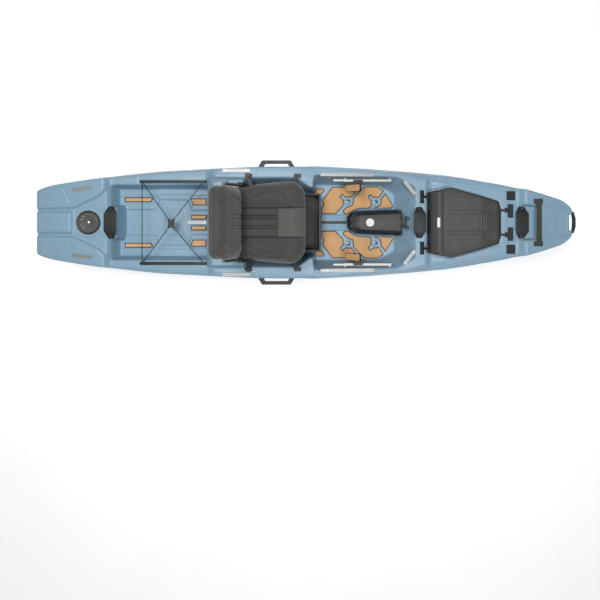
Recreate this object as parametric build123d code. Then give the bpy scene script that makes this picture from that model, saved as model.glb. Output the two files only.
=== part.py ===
"""A sit-on-top pedal kayak for fishing, without its pedal drive.

Millimetres, +X to the bow, +Y to port, +Z up.  The parts are drawn with z = 0 at the keel and written
KEEL_Z higher, so that the tip of the lowered rudder stands on z = 0.
"""

import math
import os

from build123d import *

# ---------------------------------------------------------------- driving dimensions
LENGTH = 3890.0            # over the stern and the bow handle
HALF = LENGTH / 2
KEEL_Z = 184.0             # keel above the tip of the lowered rudder
WALL = 5.0                 # moulded wall of the hull, the deck and its wells
GAP = 0.3                  # clearance between bodies that move past each other
FIT = 0.05                 # radial clearance of a running fit

# Deck height along the boat: stern deck, side decks of the tankwell, gunwale, foredeck, bow.
SHEER = [(-HALF, 378), (-1451, 385), (-1429, 335), (-716, 335), (-666, 371), (-61, 371), (76, 356),
         (560, 315), (715, 301), (885, 301), (905, 338), (983, 369), (1112, 375), (1436, 391),
         (1523, 391), (1559, 438), (1918, 399)]
# Widest line of the hull, where deck and hull meet: half-breadth, then height.
BEAM = [(-HALF, 236), (-1908, 254), (-1868, 270), (-1782, 288), (-1609, 317), (-1350, 353),
        (-1091, 382), (-745, 403), (-300, 423), (80, 425), (464, 403), (810, 374), (1069, 346),
        (1242, 317), (1415, 281), (1588, 238), (1710, 203), (1837, 164), (1900, 118), (1918, 92)]
BEAM_Z = [(-HALF, 292), (-1609, 286), (-1091, 262), (-300, 222), (80, 212), (464, 225), (810, 243),
          (1069, 262), (1242, 268), (1415, 272), (1588, 298), (1710, 310), (1837, 321), (1918, 345)]
EDGE_INSET = [(-HALF, 8), (-1350, 15), (80, 20), (810, 19), (1242, 14), (1415, 8), (1918, 3)]
KEEL = [(-1940, 270), (-1908, 205), (-1868, 143), (-1842, 123), (-1609, 108), (-1350, 88),
        (-1091, 61), (-745, 35), (-300, 6), (80, 0), (464, 9), (810, 20), (1069, 40), (1242, 70),
        (1415, 78), (1588, 84), (1710, 112), (1796, 162), (1837, 300)]
CHINE = [(-1940, 120), (-1908, 165), (-1868, 200), (-1842, 210), (-1609, 250), (-1350, 280),
         (-1091, 300), (-745, 320), (-300, 335), (80, 335), (464, 318), (810, 285), (1069, 235),
         (1242, 170), (1415, 105), (1588, 70), (1710, 45), (1796, 24), (1837, 12)]
CHINE_Z = [(-1940, 275), (-1908, 215), (-1868, 178), (-1842, 170), (-1609, 150), (-1350, 115),
           (-1091, 85), (-745, 58), (-300, 36), (80, 34), (464, 42), (810, 62), (1069, 82),
           (1242, 110), (1415, 150), (1588, 150), (1710, 170), (1796, 210), (1837, 305)]
KEEL_FLAT = 0.25           # flat of the keel as a share of the chine's half-breadth
FIRST_LOW, LAST_LOW = -1940, 1837
LAST_TOP = 1918

FLOOR_Z = 125.0            # footwell floor
FOOTWELL_END, FOOTWELL_LIP = 690.0, 813.0   # forward end of the footwell at its floor and 275 above it
TANK_Z = 220.0             # tankwell floor
RISER_Z = 436.0            # moulded block behind the seat
RUDDER_X = -1571.0
TURRET_R = 80.0
TRUNK_HALF = 86.0          # half of the square opening that holds the rudder trunk
TRUNK_STAVES = 12
SEAT_X = -284.0            # swivel axis
FOLD_X, FOLD_Z = -443.0, 593.0
BACK_CORNER = 90.0         # radius of the backrest's upper corners
SCUPPERS = [(336, 164), (336, -164), (550, 160), (550, -160)]
SCUPPER_R = 15.0
LID_HINGE_X, LID_HINGE_Z = 1438.0, 408.0
LID_OUTLINE = [(893, 220), (1028, 249), (1376, 150), (1396, 92)]
LATCH_X, LATCH_Z, LATCH_Y = 884.0, 356.0, 189.0
POD_HINGE_X, POD_HINGE_Z = 742.0, 284.0
POD_OUTLINE = [(342, 36), (360, 60), (400, 71), (718, 85)]
POD_LATCH_X, POD_LATCH_Z = 336.0, 276.0
INSERT_X, INSERT_Y = (-1865.0, -1736.0), (-47.0, 47.0)
GRIP_X = (-1408.0, -500.0, 840.0, 1547.0)      # stern, riser, midships and bow grab handles
GRIP_Z = (362.0, 424.0, 301.0, 391.0)
RAIL_Y, RAIL_Z = (300.5, 318.5), (288.0, 312.0)
PEDAL_X, PEDAL_Y, PEDAL_Z = 360.0, 254.5, 292.0
CARRIAGE_X = (352.0, 422.0)
CORD_R = 3.0
HUB_X, HUB_Y, CORD_Z = -979.0, -8.0, 346.0


# ---------------------------------------------------------------- helpers
def along(table, x):
    """Value of a table of (x, value) pairs at x, by straight lines."""
    for (x0, v0), (x1, v1) in zip(table, table[1:]):
        if x <= x1:
            return v0 + (v1 - v0) * (max(x, x0) - x0) / (x1 - x0)
    return table[-1][1]


def box(x0, x1, y0, y1, z0, z1):
    return Solid.make_box(x1 - x0, y1 - y0, z1 - z0, Plane((x0, y0, z0)))


def cylinder(radius, start, end):
    """Round bar between two points."""
    axis = Vector(*end) - Vector(*start)
    return Solid.make_cylinder(radius, axis.length, Plane(start, z_dir=axis.normalized()))


def section(points):
    return Wire.make_polygon([Vector(*p) for p in points], close=True)


def prism_z(points, z0, z1):
    """Plan outline raised from z0 to z1."""
    return Solid.extrude(Face(section([(x, y, z0) for x, y in points])), Vector(0, 0, z1 - z0))


def prism_y(points, y0, y1):
    """Side outline of (x, z) points, extruded from y0 to y1."""
    return Solid.extrude(Face(section([(x, y0, z) for x, z in points])), Vector(0, y1 - y0, 0))


def mirrored_outline(points):
    """Closed plan outline from its port half, stern to bow."""
    return [(x, y) for x, y in points] + [(x, -y) for x, y in reversed(points)]


def tapered(low, z0, high, z1):
    """Straight-sided well between two plan outlines of as many corners each."""
    wires = [section([(x, y, z) for x, y in points]) for points, z in ((low, z0), (high, z1))]
    return Solid.make_loft(wires, True)


def grow(points, by):
    """Plan outline moved outward by a distance, corner by corner."""
    area = sum(x0 * y1 - x1 * y0 for (x0, y0), (x1, y1) in zip(points, points[1:] + points[:1]))
    side = by if area > 0 else -by
    grown = []
    for i, (x, y) in enumerate(points):
        (xa, ya), (xb, yb) = points[i - 1], points[(i + 1) % len(points)]
        ua = Vector(x - xa, y - ya).normalized()
        ub = Vector(xb - x, yb - y).normalized()
        bisector = Vector(ua.Y + ub.Y, -ua.X - ub.X)
        scale = side / (1 + ua.X * ub.X + ua.Y * ub.Y)
        grown.append((x + bisector.X * scale, y + bisector.Y * scale))
    return grown


def both(maker):
    """The same piece on the port (+1) and the starboard (-1) side."""
    return maker(1), maker(-1)


def mirrored(shape):
    return shape.mirror(Plane.XZ)


def fuse(*shapes):
    """One compound of all the shapes, joined where they touch."""
    return Part() + list(shapes)


def common(shape, other):
    """The space that two shapes share."""
    return Part() + shape.intersect(other)


# ---------------------------------------------------------------- hull and deck shells
def deck_section(x, skin):
    top = along(SHEER, x) - skin
    edge = along(BEAM, x) - along(EDGE_INSET, x) - skin
    side, low = along(BEAM, x) - skin, along(BEAM_Z, x)
    return [(side, low), (edge, top), (-edge, top), (-side, low)]


def low_section(x, skin):
    keel, chine = along(KEEL, x) + skin, along(CHINE, x) - skin
    side, top = along(BEAM, x) - skin, along(BEAM_Z, x)
    flat = along(CHINE, x) * KEEL_FLAT
    half = [(flat, keel), (chine, along(CHINE_Z, x) + 0.6 * skin), (side, top)]
    return half + [(-y, z) for y, z in reversed(half)]


def loft_stations(stations, maker, skin):
    wires = []
    for x in stations:
        inward = min(max(x, stations[0] + skin), stations[-1] - skin)
        wires.append(section([(inward, y, z) for y, z in maker(x, skin)]))
    return Solid.make_loft(wires, True)


def deck_block(skin):
    stations = sorted({x for table in (SHEER, BEAM, BEAM_Z) for x, _ in table})
    return loft_stations(stations, deck_section, skin)


def low_block(skin):
    stations = sorted({x for x, _ in KEEL} | {x for x, _ in BEAM if FIRST_LOW < x < LAST_LOW})
    return loft_stations(stations, low_section, skin)


def riser_block(skin):
    """Block behind the seat, with a sloping after face."""
    floor = 350 if skin else 371
    step = 424 - skin
    outline = [(-716 + skin, 371 - skin), (-665 + skin, RISER_Z - skin), (-562 - skin, RISER_Z - skin),
               (-550 - skin, step), (-440 - skin, step), (-440 - skin, floor), (-700 + skin, floor)]
    if not skin:
        outline = outline[:5] + [(-440, floor)]
    return prism_y(outline, -320 + skin, 320 - skin)


def stern_recess(by):
    """Sunk stern deck around the rudder turret, left proud along the middle pad."""
    port = grow([(-HALF - 10, 78), (-1688, 78), (-1688, 0), (-1425, 0), (-1425, 262), (-1488, 194),
                 (-1677, 104), (-HALF - 10, 94)], by)
    outline = prism_z(port, 362 - by, 420)
    return outline.fuse(mirrored(outline))


def tankwell(by):
    low = grow(mirrored_outline([(-1405, 262), (-722, 262)]), by)
    high = grow(mirrored_outline([(-1455, 268), (-718, 268)]), by)
    return tapered(low, TANK_Z - by, high, 400)


def seat_well(by):
    low = grow(mirrored_outline([(-430, 240), (-60, 240), (20, 235), (80, 235)]), by)
    high = grow(mirrored_outline([(-436, 322), (-60, 322), (29, 253), (80, 253)]), by)
    return tapered(low, FLOOR_Z - by, high, 440)


def footwell(by):
    low = grow(mirrored_outline([(66, 300), (575, 292), (FOOTWELL_END, 222)]), by)
    high = grow(mirrored_outline([(66, 344), (682, 338), (FOOTWELL_LIP, 262)]), by)
    return tapered(low, FLOOR_Z - by, high, 400)


def hatch_well(by):
    low = grow(mirrored_outline([(920, 196), (1026, 218), (1345, 122), (1362, 66)]), by)
    high = grow(mirrored_outline([(908, 204), (1026, 234), (1362, 138), (1380, 80)]), by)
    return tapered(low, 190 - by, high, 460)


def pod_well(by):
    return box(337 - by, 725 + by, -90 - by, 90 + by, 66 - by, 400)


def drive_opening(by):
    """Opening through the bottom for a pedal drive, under the console pod."""
    return box(400 - by, 690 + by, -60 - by, 60 + by, -20, 70)


def turret_opening(by):
    """Square opening for the rudder trunk, from the sunk stern deck down through the bottom."""
    half = TRUNK_HALF + by
    return box(RUDDER_X - half, RUDDER_X + half, -half, half, 60, 420)


def scupper_tube(x, y, by):
    return Solid.make_cylinder(SCUPPER_R + by, 180, Plane((x, y, -20)))


def bow_channel(by):
    outline = [(1566 - by, 426 - by), (1930, 386 - by), (1930, 470), (1566 - by, 470)]
    return prism_y(outline, -100 - by, 100 + by)


def bow_step(by):
    """Sunk floor for the bow grab handle and the tray forward of it."""
    return box(1500 - by, 1665 + by, -125 - by, 125 + by, 391 - by, 470)


def insert_bosses(radius, low):
    spots = [(x, y) for x in INSERT_X for y in INSERT_Y]
    return [Solid.make_cylinder(radius, 420 - low, Plane((x, y, low))) for x, y in spots]


def bow_notch(by):
    return box(1884 - by, 1960, -58 - by, 58 + by, 300, 470)


def handle_pockets(by):
    def side(sign):
        plate = box(-346 - by, -79 + by, 400 - by, 460, 305 - by, 349 + by)
        grip = box(-290 - by, -135 + by, 386 - by, 460, 246 - by, 349 + by)
        pocket = plate.fuse(grip)
        return pocket if sign > 0 else mirrored(pocket)
    return fuse(*both(side))


def hull_shells():
    """Deck moulding and bottom moulding, which meet face to face at the widest line."""
    outer_deck = deck_block(0).fuse(riser_block(0))
    inner_deck = deck_block(WALL).fuse(riser_block(WALL))
    outer_low, inner_low = low_block(0), low_block(WALL)
    outer = outer_deck.fuse(outer_low)
    wells = [stern_recess, tankwell, seat_well, footwell, hatch_well, pod_well, bow_channel, bow_step,
             bow_notch, handle_pockets, drive_opening]
    void = fuse(turret_opening(0), *[well(0) for well in wells])
    tubes = [scupper_tube(x, y, WALL) for x, y in SCUPPERS]
    bores = [scupper_tube(x, y, 0) for x, y in SCUPPERS]
    lined = common(fuse(*[well(WALL) for well in wells], *tubes, *insert_bosses(11, 360)), outer)
    deck = outer_deck.cut(inner_deck).fuse(lined).cut(void)
    spine = box(104, 330, -47, 47, 118, 140).cut(box(109, 325, -42, 42, 110, 135))
    ledge = prism_y([(-1470, 352), (-1470, 362), (-1364, 362), (-1364, 350), (-1410, 250), (-1410, 352)],
                    -122, 122)
    deck = deck.fuse(spine, ledge).cut(*bores, *insert_bosses(6, 366))
    low = outer_low.cut(inner_low)
    low = low.cut(turret_opening(0), drive_opening(WALL), *tubes)
    parts = {name: tiles(deck, spans) for name, spans in DECK_TILES.items()}
    parts["hull_lower"] = tiles(low, LOW_TILES)
    return parts


# Spans of the mouldings: where each starts along the boat, and the lines beside the middle where it is
# divided, so that every block is an open channel or a plate.  The last entry is the end.
DECK_TILES = {
    "deck_aft": [(-1950, (78,)), (RUDDER_X - TRUNK_HALF, (TRUNK_HALF,)), (RUDDER_X + TRUNK_HALF, (122,)),
                 (-1405, (256,)), (-722, ())],
    "deck_middle": [(-722, (290,)), (-655, (290,)), (-550, (290,)), (-430, (228,)), (-60, (228,)), (66, ())],
    "deck_footwell": [(66, (285,)), (300, (97, 285)), (575, (97, 262)), (692, (97, 215)), (745, (215,)),
                      (813, ())],
    "deck_forward": [(813, (250,)), (905, (192,)), (1026, (168,)), (1190, (120,)), (1350, (60,)),
                     (1384, (120,)), (1500, (118,)), (1667, (92,)), (1884, (58,)), (1925, ())],
}
LOW_TILES = [(-1945, ()), (RUDDER_X - TRUNK_HALF, (TRUNK_HALF,)), (RUDDER_X + TRUNK_HALF, ()), (-900, ()),
             (-300, (120,)), (100, (120,)), (395, (63,)), (695, (120,)), (1069, ()), (1415, ()), (1845, ())]


def tiles(shape, spans):
    """The shape as touching blocks, divided along and beside the middle of the boat."""
    blocks = []
    for (x0, cuts), (x1, _) in zip(spans, spans[1:]):
        edges = [-600, *[-y for y in reversed(cuts)], *cuts, 600]
        for low, high in zip(edges, edges[1:]):
            blocks += common(shape, box(x0, x1, low, high, -50, 600)).solids()
    return Compound(blocks)


def rudder_trunk():
    """Lining of the turret opening: flat staves round the turret, with a square collar at each end."""
    inner = TURRET_R + GAP
    step = math.tau / TRUNK_STAVES
    square = box(RUDDER_X - TRUNK_HALF, RUDDER_X + TRUNK_HALF, -TRUNK_HALF, TRUNK_HALF, 0, 500)
    staves = []
    for i in range(TRUNK_STAVES):
        turn = Plane((RUDDER_X, 0, 0), x_dir=(math.cos(i * step), math.sin(i * step), 0), z_dir=(0, 0, 1))
        for outer, z0, z1 in ((130, 352, 362), (inner + 4, 118, 352), (130, 108, 118)):
            slope = math.tan(step / 2)
            corners = [(inner, -inner * slope), (outer, -outer * slope), (outer, outer * slope),
                       (inner, inner * slope)]
            points = [turn.from_local_coords(Vector(x, y, z0)) for x, y in corners]
            wire = Wire.make_polygon(points, close=True)
            stave = Solid.extrude(Face(wire), Vector(0, 0, z1 - z0))
            staves += common(stave, square).solids()
    return {"rudder_trunk": Compound(staves)}


# ---------------------------------------------------------------- fittings on the deck
TRACK_PROFILE = [(-12.5, 0), (12.5, 0), (12.5, 9), (4, 9), (4, 7), (8.5, 7), (8.5, 2.2), (-8.5, 2.2),
                 (-8.5, 7), (-4, 7), (-4, 9), (-12.5, 9)]


def deck_frame(start, end):
    """Start point, direction, sideways and upward vectors of a fitting laid along the deck."""
    (x0, y0, z0), (x1, y1, z1) = start, end
    run = Vector(x1 - x0, y1 - y0, z1 - z0)
    normal = Vector(-(z1 - z0) / (x1 - x0), 0, 1).normalized()
    sideways = run.cross(normal).normalized()
    return Vector(*start), run, sideways, normal


def track(start, end):
    """Slotted accessory track between two deck points."""
    origin, run, sideways, normal = deck_frame(start, end)
    points = [origin + sideways * u + normal * v for u, v in TRACK_PROFILE]
    return Solid.extrude(Face(Wire.make_polygon(points, close=True)), run)


def track_screw_pair(start, end):
    origin, run, _, normal = deck_frame(start, end)
    return [Solid.make_cylinder(3.8, 2.5, Plane(origin + run * share + normal * 2.2, z_dir=normal))
            for share in (0.12, 0.88)]


def on_deck(x, y):
    return x, y, along(SHEER, x)


def side_track_lines(side):
    spans = [((-1677, 234), (-1544, 252)), ((-601, 376), (-400, 376)), ((108, 349), (504, 349)),
             ((729, 307), (808, 206))]
    return [(on_deck(x0, side * y0), on_deck(x1, side * y1)) for (x0, y0), (x1, y1) in spans]


def tracks():
    tank_line = ((-891, 0, TANK_Z), (-746, 0, TANK_Z))
    port, starboard = side_track_lines(1), side_track_lines(-1)
    screws = [screw for line in port + starboard + [tank_line] for screw in track_screw_pair(*line)]
    return {"tracks_port": fuse(*[track(*line) for line in port]),
            "tracks_starboard": fuse(*[track(*line) for line in starboard]),
            "track_tankwell": track(*tank_line),
            "track_screws": fuse(*screws)}


def bungee():
    outline = [(-1213, 335), (-1205, 349), (-730, 349), (-722, 335)]
    rails = [prism_y(outline, y - 11, y + 11) for y in (298, -298)]
    hub = Solid.make_cylinder(22, 16, Plane((HUB_X, HUB_Y, CORD_Z - 8)))
    lobes = [Solid.make_cylinder(10, 12, Plane((HUB_X + 15 * sx, HUB_Y + 25 * sy, CORD_Z - 6)))
             for sx in (1, -1) for sy in (1, -1)]
    parts = {"bungee_rails": fuse(*rails), "bungee_hub": fuse(hub, *lobes)}
    cords = [cylinder(CORD_R, (-1190, -286.4, CORD_Z), (-1190, 286.4, CORD_Z))]
    for x, side in ((-1180, 1), (-1180, -1), (-752, 1), (-752, -1)):
        start = Vector(x, side * 284, CORD_Z)
        lobe = Vector(HUB_X + math.copysign(15, x - HUB_X), HUB_Y + 25 * side, CORD_Z)
        end = lobe + (start - lobe).normalized() * 10.5
        cords.append(cylinder(CORD_R, start, end))
    parts["bungee_cords"] = Compound(cords)
    return parts


PAD_AFT = [(126, 67), (237, 65), (300, 134), (297, 156), (303, 175), (275, 200), (290, 216), (318, 193),
           (336, 199), (354, 192), (406, 242), (371, 279), (212, 277), (132, 171), (143, 136), (127, 121)]
PAD_MIDDLE = [(340, 65), (378, 92), (414, 106), (495, 109), (518, 129), (515, 152), (517, 173),
              (493, 199), (507, 213), (534, 192), (552, 197), (574, 189), (612, 250), (563, 281),
              (459, 279), (372, 188), (374, 159), (364, 134), (322, 120), (292, 90), (304, 67)]
PAD_FORWARD = [(625, 227), (684, 135), (677, 111), (552, 106), (541, 114), (583, 135), (590, 163),
               (587, 180)]
PAD_CORNER = [(76, 219), (76, 264), (143, 264), (152, 248), (125, 219)]


def floor_pads():
    outlines = [PAD_AFT, PAD_MIDDLE, PAD_FORWARD, PAD_CORNER]
    pads = [prism_z(outline, FLOOR_Z, FLOOR_Z + 5) for outline in outlines]
    return {"floor_pads": fuse(*pads, *[mirrored(pad) for pad in pads])}


def tankwell_pads():
    outlines = [[(-1364, 154), (-1364, 190), (-1166, 190), (-1152, 182), (-1166, 154)],
                [(-852, 130), (-868, 182), (-748, 182), (-748, 130)],
                [(-860, 24), (-866, 58), (-748, 58), (-748, 24)]]
    pads = [prism_z(outline, TANK_Z, TANK_Z + 5) for outline in outlines]
    return {"tankwell_pads": fuse(*pads, *[mirrored(pad) for pad in pads])}


def grab_handle(x, z):
    """Arched handle across the boat, hexagonal in plan, with a finger gap under it."""
    arch = [(-117, 0), (-104, 9), (-62, 26), (62, 26), (104, 9), (117, 0), (82, 0), (56, 17), (-56, 17),
            (-82, 0)]
    outline = [(-44, 62), (-18, 117), (18, 117), (44, 62), (44, -62), (18, -117), (-18, -117), (-44, -62)]
    wire = section([(x - 50, y, z + h) for y, h in arch])
    bridge = Solid.extrude(Face(wire), Vector(100, 0, 0))
    return common(bridge, prism_z([(x + u, v) for u, v in outline], z, z + 40))


def grab_handles():
    names = ("grab_handle_stern", "grab_handle_riser", "grab_handle_midships", "grab_handle_bow")
    return {name: grab_handle(x, z) for name, x, z in zip(names, GRIP_X, GRIP_Z)}


def carry_handles():
    outline = [(-343, 400), (-343, 411), (-318, 453.5), (-107, 453.5), (-82, 411), (-82, 400), (-114, 400),
               (-130, 431), (-295, 431), (-311, 400)]
    port = prism_z(outline, 311, 342)
    strap = prism_y([(-286, 303), (-212, 256), (-138, 303), (-148, 303), (-212, 264), (-276, 303)], 386, 393)
    keeper = strap.fuse(box(-228, -196, 386, 399, 254, 268))
    return {"carry_handle_port": port, "carry_handle_starboard": mirrored(port),
            "paddle_keepers": fuse(keeper, mirrored(keeper))}


def deck_band(x0, x1, y0, y1, height):
    """Flat band laid on the sloping foredeck."""
    z0, z1 = along(SHEER, x0), along(SHEER, x1)
    return prism_y([(x0, z0), (x1, z1), (x1, z1 + height), (x0, z0 + height)], y0, y1)


def bow_fittings():
    outline = [(1918, 82), (1931, 76), (HALF, 30), (HALF, -30), (1931, -76), (1918, -82), (1918, -61),
               (1926, -55), (1931, -26), (1931, 26), (1926, 55), (1918, 61)]
    handle = prism_z(outline, 357, 384)
    strap = fuse(deck_band(1637, 1675, -160, 160, 5), deck_band(1616, 1682, 132, 168, 7),
                 deck_band(1616, 1682, -168, -132, 7))
    cup = box(1440, 1500, 160, 224, 391, 403).cut(box(1451, 1489, 171, 213, 396, 410))
    return {"bow_handle": handle, "bow_strap": strap, "rod_tip_cups": fuse(cup, mirrored(cup))}


def stern_fittings():
    inserts = [Solid.make_cylinder(6, 12, Plane((x, y, 366))).cut(
        Solid.make_cylinder(3.25, 14, Plane((x, y, 365)))) for x in INSERT_X for y in INSERT_Y]
    z0, z1 = along(KEEL, -1842), along(KEEL, -1757)
    skid = prism_y([(-1842, z0), (-1757, z1), (-1757, z1 - 6), (-1842, z0 - 6)], -45, 45)
    return {"threaded_inserts": fuse(*inserts), "skid_plate": skid}


# ---------------------------------------------------------------- bow hatch
def sheer_slab(x0, x1, low, high):
    """Layer that follows the deck between two heights above it."""
    xs = [x0] + [x for x, _ in SHEER if x0 < x < x1] + [x1]
    line = [(x, along(SHEER, x)) for x in xs]
    outline = [(x, z + low) for x, z in line] + [(x, z + high) for x, z in reversed(line)]
    return prism_y(outline, -300, 300)


def lid_block(inset):
    outline = grow(mirrored_outline(LID_OUTLINE), -inset)
    xs = [889] + [x for x, _ in SHEER if 889 < x < 1410] + [1410]
    crown = [(1410, 402), (1358, 424), (1240, 445), (934, 441), (900, 404), (889, 330)]
    base = [(x, along(SHEER, x) + 4) for x in xs]
    if inset:
        base = [(x, z - 20) for x, z in base]
        crown = [(x, z - inset) for x, z in crown]
    return common(prism_z(outline, 300, 460), prism_y(base + crown, -300, 300))


def hatch():
    lid_outline = mirrored_outline(LID_OUTLINE)
    ring = prism_z(grow(lid_outline, -1), 300, 460).cut(prism_z(grow(lid_outline, -7), 290, 470))
    gasket = common(ring, sheer_slab(890, 1440, 0, 3.7))
    wall = prism_z(grow(lid_outline, -9), 300, 460).cut(prism_z(grow(lid_outline, -12.5), 290, 470))
    frame = common(wall, sheer_slab(890, 1440, 0, 8))
    lid = lid_block(0).cut(lid_block(4))
    bases = []
    for side in (1, -1):
        y = side * 87.5
        arm = box(1385, LID_HINGE_X, y - 7, y + 7, LID_HINGE_Z - 7.5, LID_HINGE_Z + 7.5)
        eye = cylinder(7.5, (LID_HINGE_X, y - 7, LID_HINGE_Z), (LID_HINGE_X, y + 7, LID_HINGE_Z))
        bore = cylinder(3 + FIT, (LID_HINGE_X, y - 20, LID_HINGE_Z), (LID_HINGE_X, y + 20, LID_HINGE_Z))
        lid = lid.fuse(arm.fuse(eye)).cut(bore)
        foot = box(1448, 1485, side * 83 - 48, side * 83 + 48, 391, 404)
        cheeks = [box(LID_HINGE_X - 9, 1450, y + s * 12 - 4.5, y + s * 12 + 4.5, 391, LID_HINGE_Z + 8)
                  for s in (1, -1)]
        pin = cylinder(3, (LID_HINGE_X, y - 16, LID_HINGE_Z), (LID_HINGE_X, y + 16, LID_HINGE_Z))
        bases.append(fuse(foot, *cheeks, pin))
        ears = [box(LATCH_X - 8, 902, side * LATCH_Y + s * 12 - 5, side * LATCH_Y + s * 12 + 5,
                    LATCH_Z - 8, LATCH_Z + 8) for s in (1, -1)]
        pivot = cylinder(3, (LATCH_X, side * LATCH_Y - 16, LATCH_Z), (LATCH_X, side * LATCH_Y + 16, LATCH_Z))
        lid = fuse(lid, *ears, pivot)
    parts = {"hatch_gasket": gasket, "hatch_coaming": frame, "hatch_lid": lid,
             "hatch_hinges": fuse(*bases)}
    for name, side in (("port", 1), ("starboard", -1)):
        y = side * LATCH_Y
        bar = box(846, 873, y - 47, y + 47, 301.5, 316)
        link = prism_y([(858, 303), (873, 303), (889, 352), (878, 360)], y - 6.5, y + 6.5)
        eye = cylinder(7, (LATCH_X, y - 6.5, LATCH_Z), (LATCH_X, y + 6.5, LATCH_Z))
        bore = cylinder(3 + FIT, (LATCH_X, y - 20, LATCH_Z), (LATCH_X, y + 20, LATCH_Z))
        parts["hatch_latch_" + name] = fuse(bar, link, eye).cut(bore)
    return parts


# ---------------------------------------------------------------- console pod
def footwell_front_x(z):
    """Forward wall of the footwell at a height."""
    return FOOTWELL_END + (FOOTWELL_LIP - FOOTWELL_END) * (z - FLOOR_Z) / 275


def console_pod():
    outline = mirrored_outline(POD_OUTLINE)
    inner = grow(outline, -4)
    tub = prism_z(outline, 66, 268).cut(prism_z(inner, 70, 280))
    plug = box(404, 686, -56, 56, 20, 66)
    tub = fuse(tub, plug).cut(box(408, 682, -52, 52, 24, 80)).fuse(box(338.5, 343, -10, 10, 248, 252))
    top = mirrored_outline([(384, 28), (394, 40), (412, 52), (710, 65)])
    lid = tapered(outline, 268.4, top, 287).cut(tapered(inner, 268.4, grow(top, -4), 283))
    arm = box(709, POD_HINGE_X, -21.5, 21.5, POD_HINGE_Z - 7, POD_HINGE_Z + 7)
    eye = cylinder(7, (POD_HINGE_X, -21.5, POD_HINGE_Z), (POD_HINGE_X, 21.5, POD_HINGE_Z))
    bore = cylinder(3 + FIT, (POD_HINGE_X, -30, POD_HINGE_Z), (POD_HINGE_X, 30, POD_HINGE_Z))
    ears = [box(POD_LATCH_X - 6, 356, s * 23.5 - 3, s * 23.5 + 3, 270.4, POD_LATCH_Z + 6) for s in (1, -1)]
    latch_pin = cylinder(2.5, (POD_LATCH_X, -26, POD_LATCH_Z), (POD_LATCH_X, 26, POD_LATCH_Z))
    lid = fuse(lid, arm, eye).cut(bore).fuse(*ears, latch_pin)
    cheek = [(footwell_front_x(272), 272), (footwell_front_x(296), 296), (741, 296), (734, 288), (738, 272)]
    cheeks = [prism_y(cheek, s * 33.5 - 11.5, s * 33.5 + 11.5) for s in (1, -1)]
    pin = cylinder(3, (POD_HINGE_X, -40, POD_HINGE_Z), (POD_HINGE_X, 40, POD_HINGE_Z))
    latch_eye = cylinder(5.5, (POD_LATCH_X, -20, POD_LATCH_Z), (POD_LATCH_X, 20, POD_LATCH_Z))
    latch_bore = cylinder(2.5 + FIT, (POD_LATCH_X, -30, POD_LATCH_Z), (POD_LATCH_X, 30, POD_LATCH_Z))
    latch = box(331, 337, -20, 20, 244, POD_LATCH_Z).fuse(latch_eye).cut(latch_bore)
    return {"pod_tub": tub, "pod_lid": lid, "pod_hinge": fuse(*cheeks, pin), "pod_latch": latch}


def console_track():
    profile = [(-10, 0), (10, 0), (10, 6), (3, 6), (3, 2), (-3, 2), (-3, 6), (-10, 6)]
    wire = section([(120, y, 140 + z) for y, z in profile])
    insert = Solid.extrude(Face(wire), Vector(200, 0, 0))
    slider = box(262, 314, -8, 8, 146.3, 152).fuse(box(266, 310, -2.6, 2.6, 143, 147))
    return {"console_track": insert, "console_slider": slider}


def seat_drawer():
    tray = box(-262, 104, -204, 204, 156, 300).cut(box(-258, 100, -200, 200, 160, 310))
    front = box(104, 114, -214, 214, 157, 300)
    grip = box(114, 122, -60, 60, 272, 284)
    outside = box(-270, 102, -214, 214, 125, 302)
    runway = box(-280, 110, -205, 205, 129, 310)
    runners = [box(-270, 102, s * 196 - 9.5, s * 196 + 9.5, 148, 155.7) for s in (1, -1)]
    return {"seat_drawer": fuse(tray, front, grip), "drawer_frame": fuse(outside.cut(runway), *runners)}


# ---------------------------------------------------------------- foot braces
def foot_brace(side):
    rail = box(285, 634, RAIL_Y[0], RAIL_Y[1], RAIL_Z[0], RAIL_Z[1])
    slot = box(295, 624, RAIL_Y[0] - 1, RAIL_Y[0] + 9, 297, 303)
    lugs = [box(x, x + 14, RAIL_Y[1] - 4, RAIL_Y[1] + 10, 296, 304) for x in (285, 616)]
    stub = box(205, 285, RAIL_Y[0] + 3, RAIL_Y[1], 291, 309)
    rail = fuse(rail, stub, *lugs).cut(slot)
    inner, lip = RAIL_Y[0] - 16, RAIL_Y[0] + 14
    jaw = [(inner, 282), (lip, 282), (lip, 287.7), (RAIL_Y[0] - GAP, 287.7), (RAIL_Y[0] - GAP, 312.3),
           (lip, 312.3), (lip, 318), (inner, 318)]
    wire = section([(CARRIAGE_X[0], y, z) for y, z in jaw])
    carriage = Solid.extrude(Face(wire), Vector(CARRIAGE_X[1] - CARRIAGE_X[0], 0, 0))
    pin = cylinder(5, (PEDAL_X, inner + 2, PEDAL_Z), (PEDAL_X, PEDAL_Y - 32, PEDAL_Z))
    carriage = carriage.fuse(pin)
    lean = math.radians(48)
    along_u, along_n = (math.cos(lean), math.sin(lean)), (-math.sin(lean), math.cos(lean))

    def plate_point(u, n):
        return PEDAL_X + along_u[0] * u + along_n[0] * n, PEDAL_Z + along_u[1] * u + along_n[1] * n
    plate = prism_y([plate_point(-72, 6), plate_point(72, 6), plate_point(72, 15), plate_point(-72, 15)],
                    PEDAL_Y - 28, PEDAL_Y + 28)
    boss = cylinder(11, (PEDAL_X, PEDAL_Y - 28, PEDAL_Z), (PEDAL_X, PEDAL_Y + 28, PEDAL_Z))
    pedal = plate.fuse(boss).cut(cylinder(5 + FIT, (PEDAL_X, 190, PEDAL_Z), (PEDAL_X, 310, PEDAL_Z)))
    pieces = [rail, carriage, pedal]
    return pieces if side > 0 else [mirrored(piece) for piece in pieces]


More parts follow.
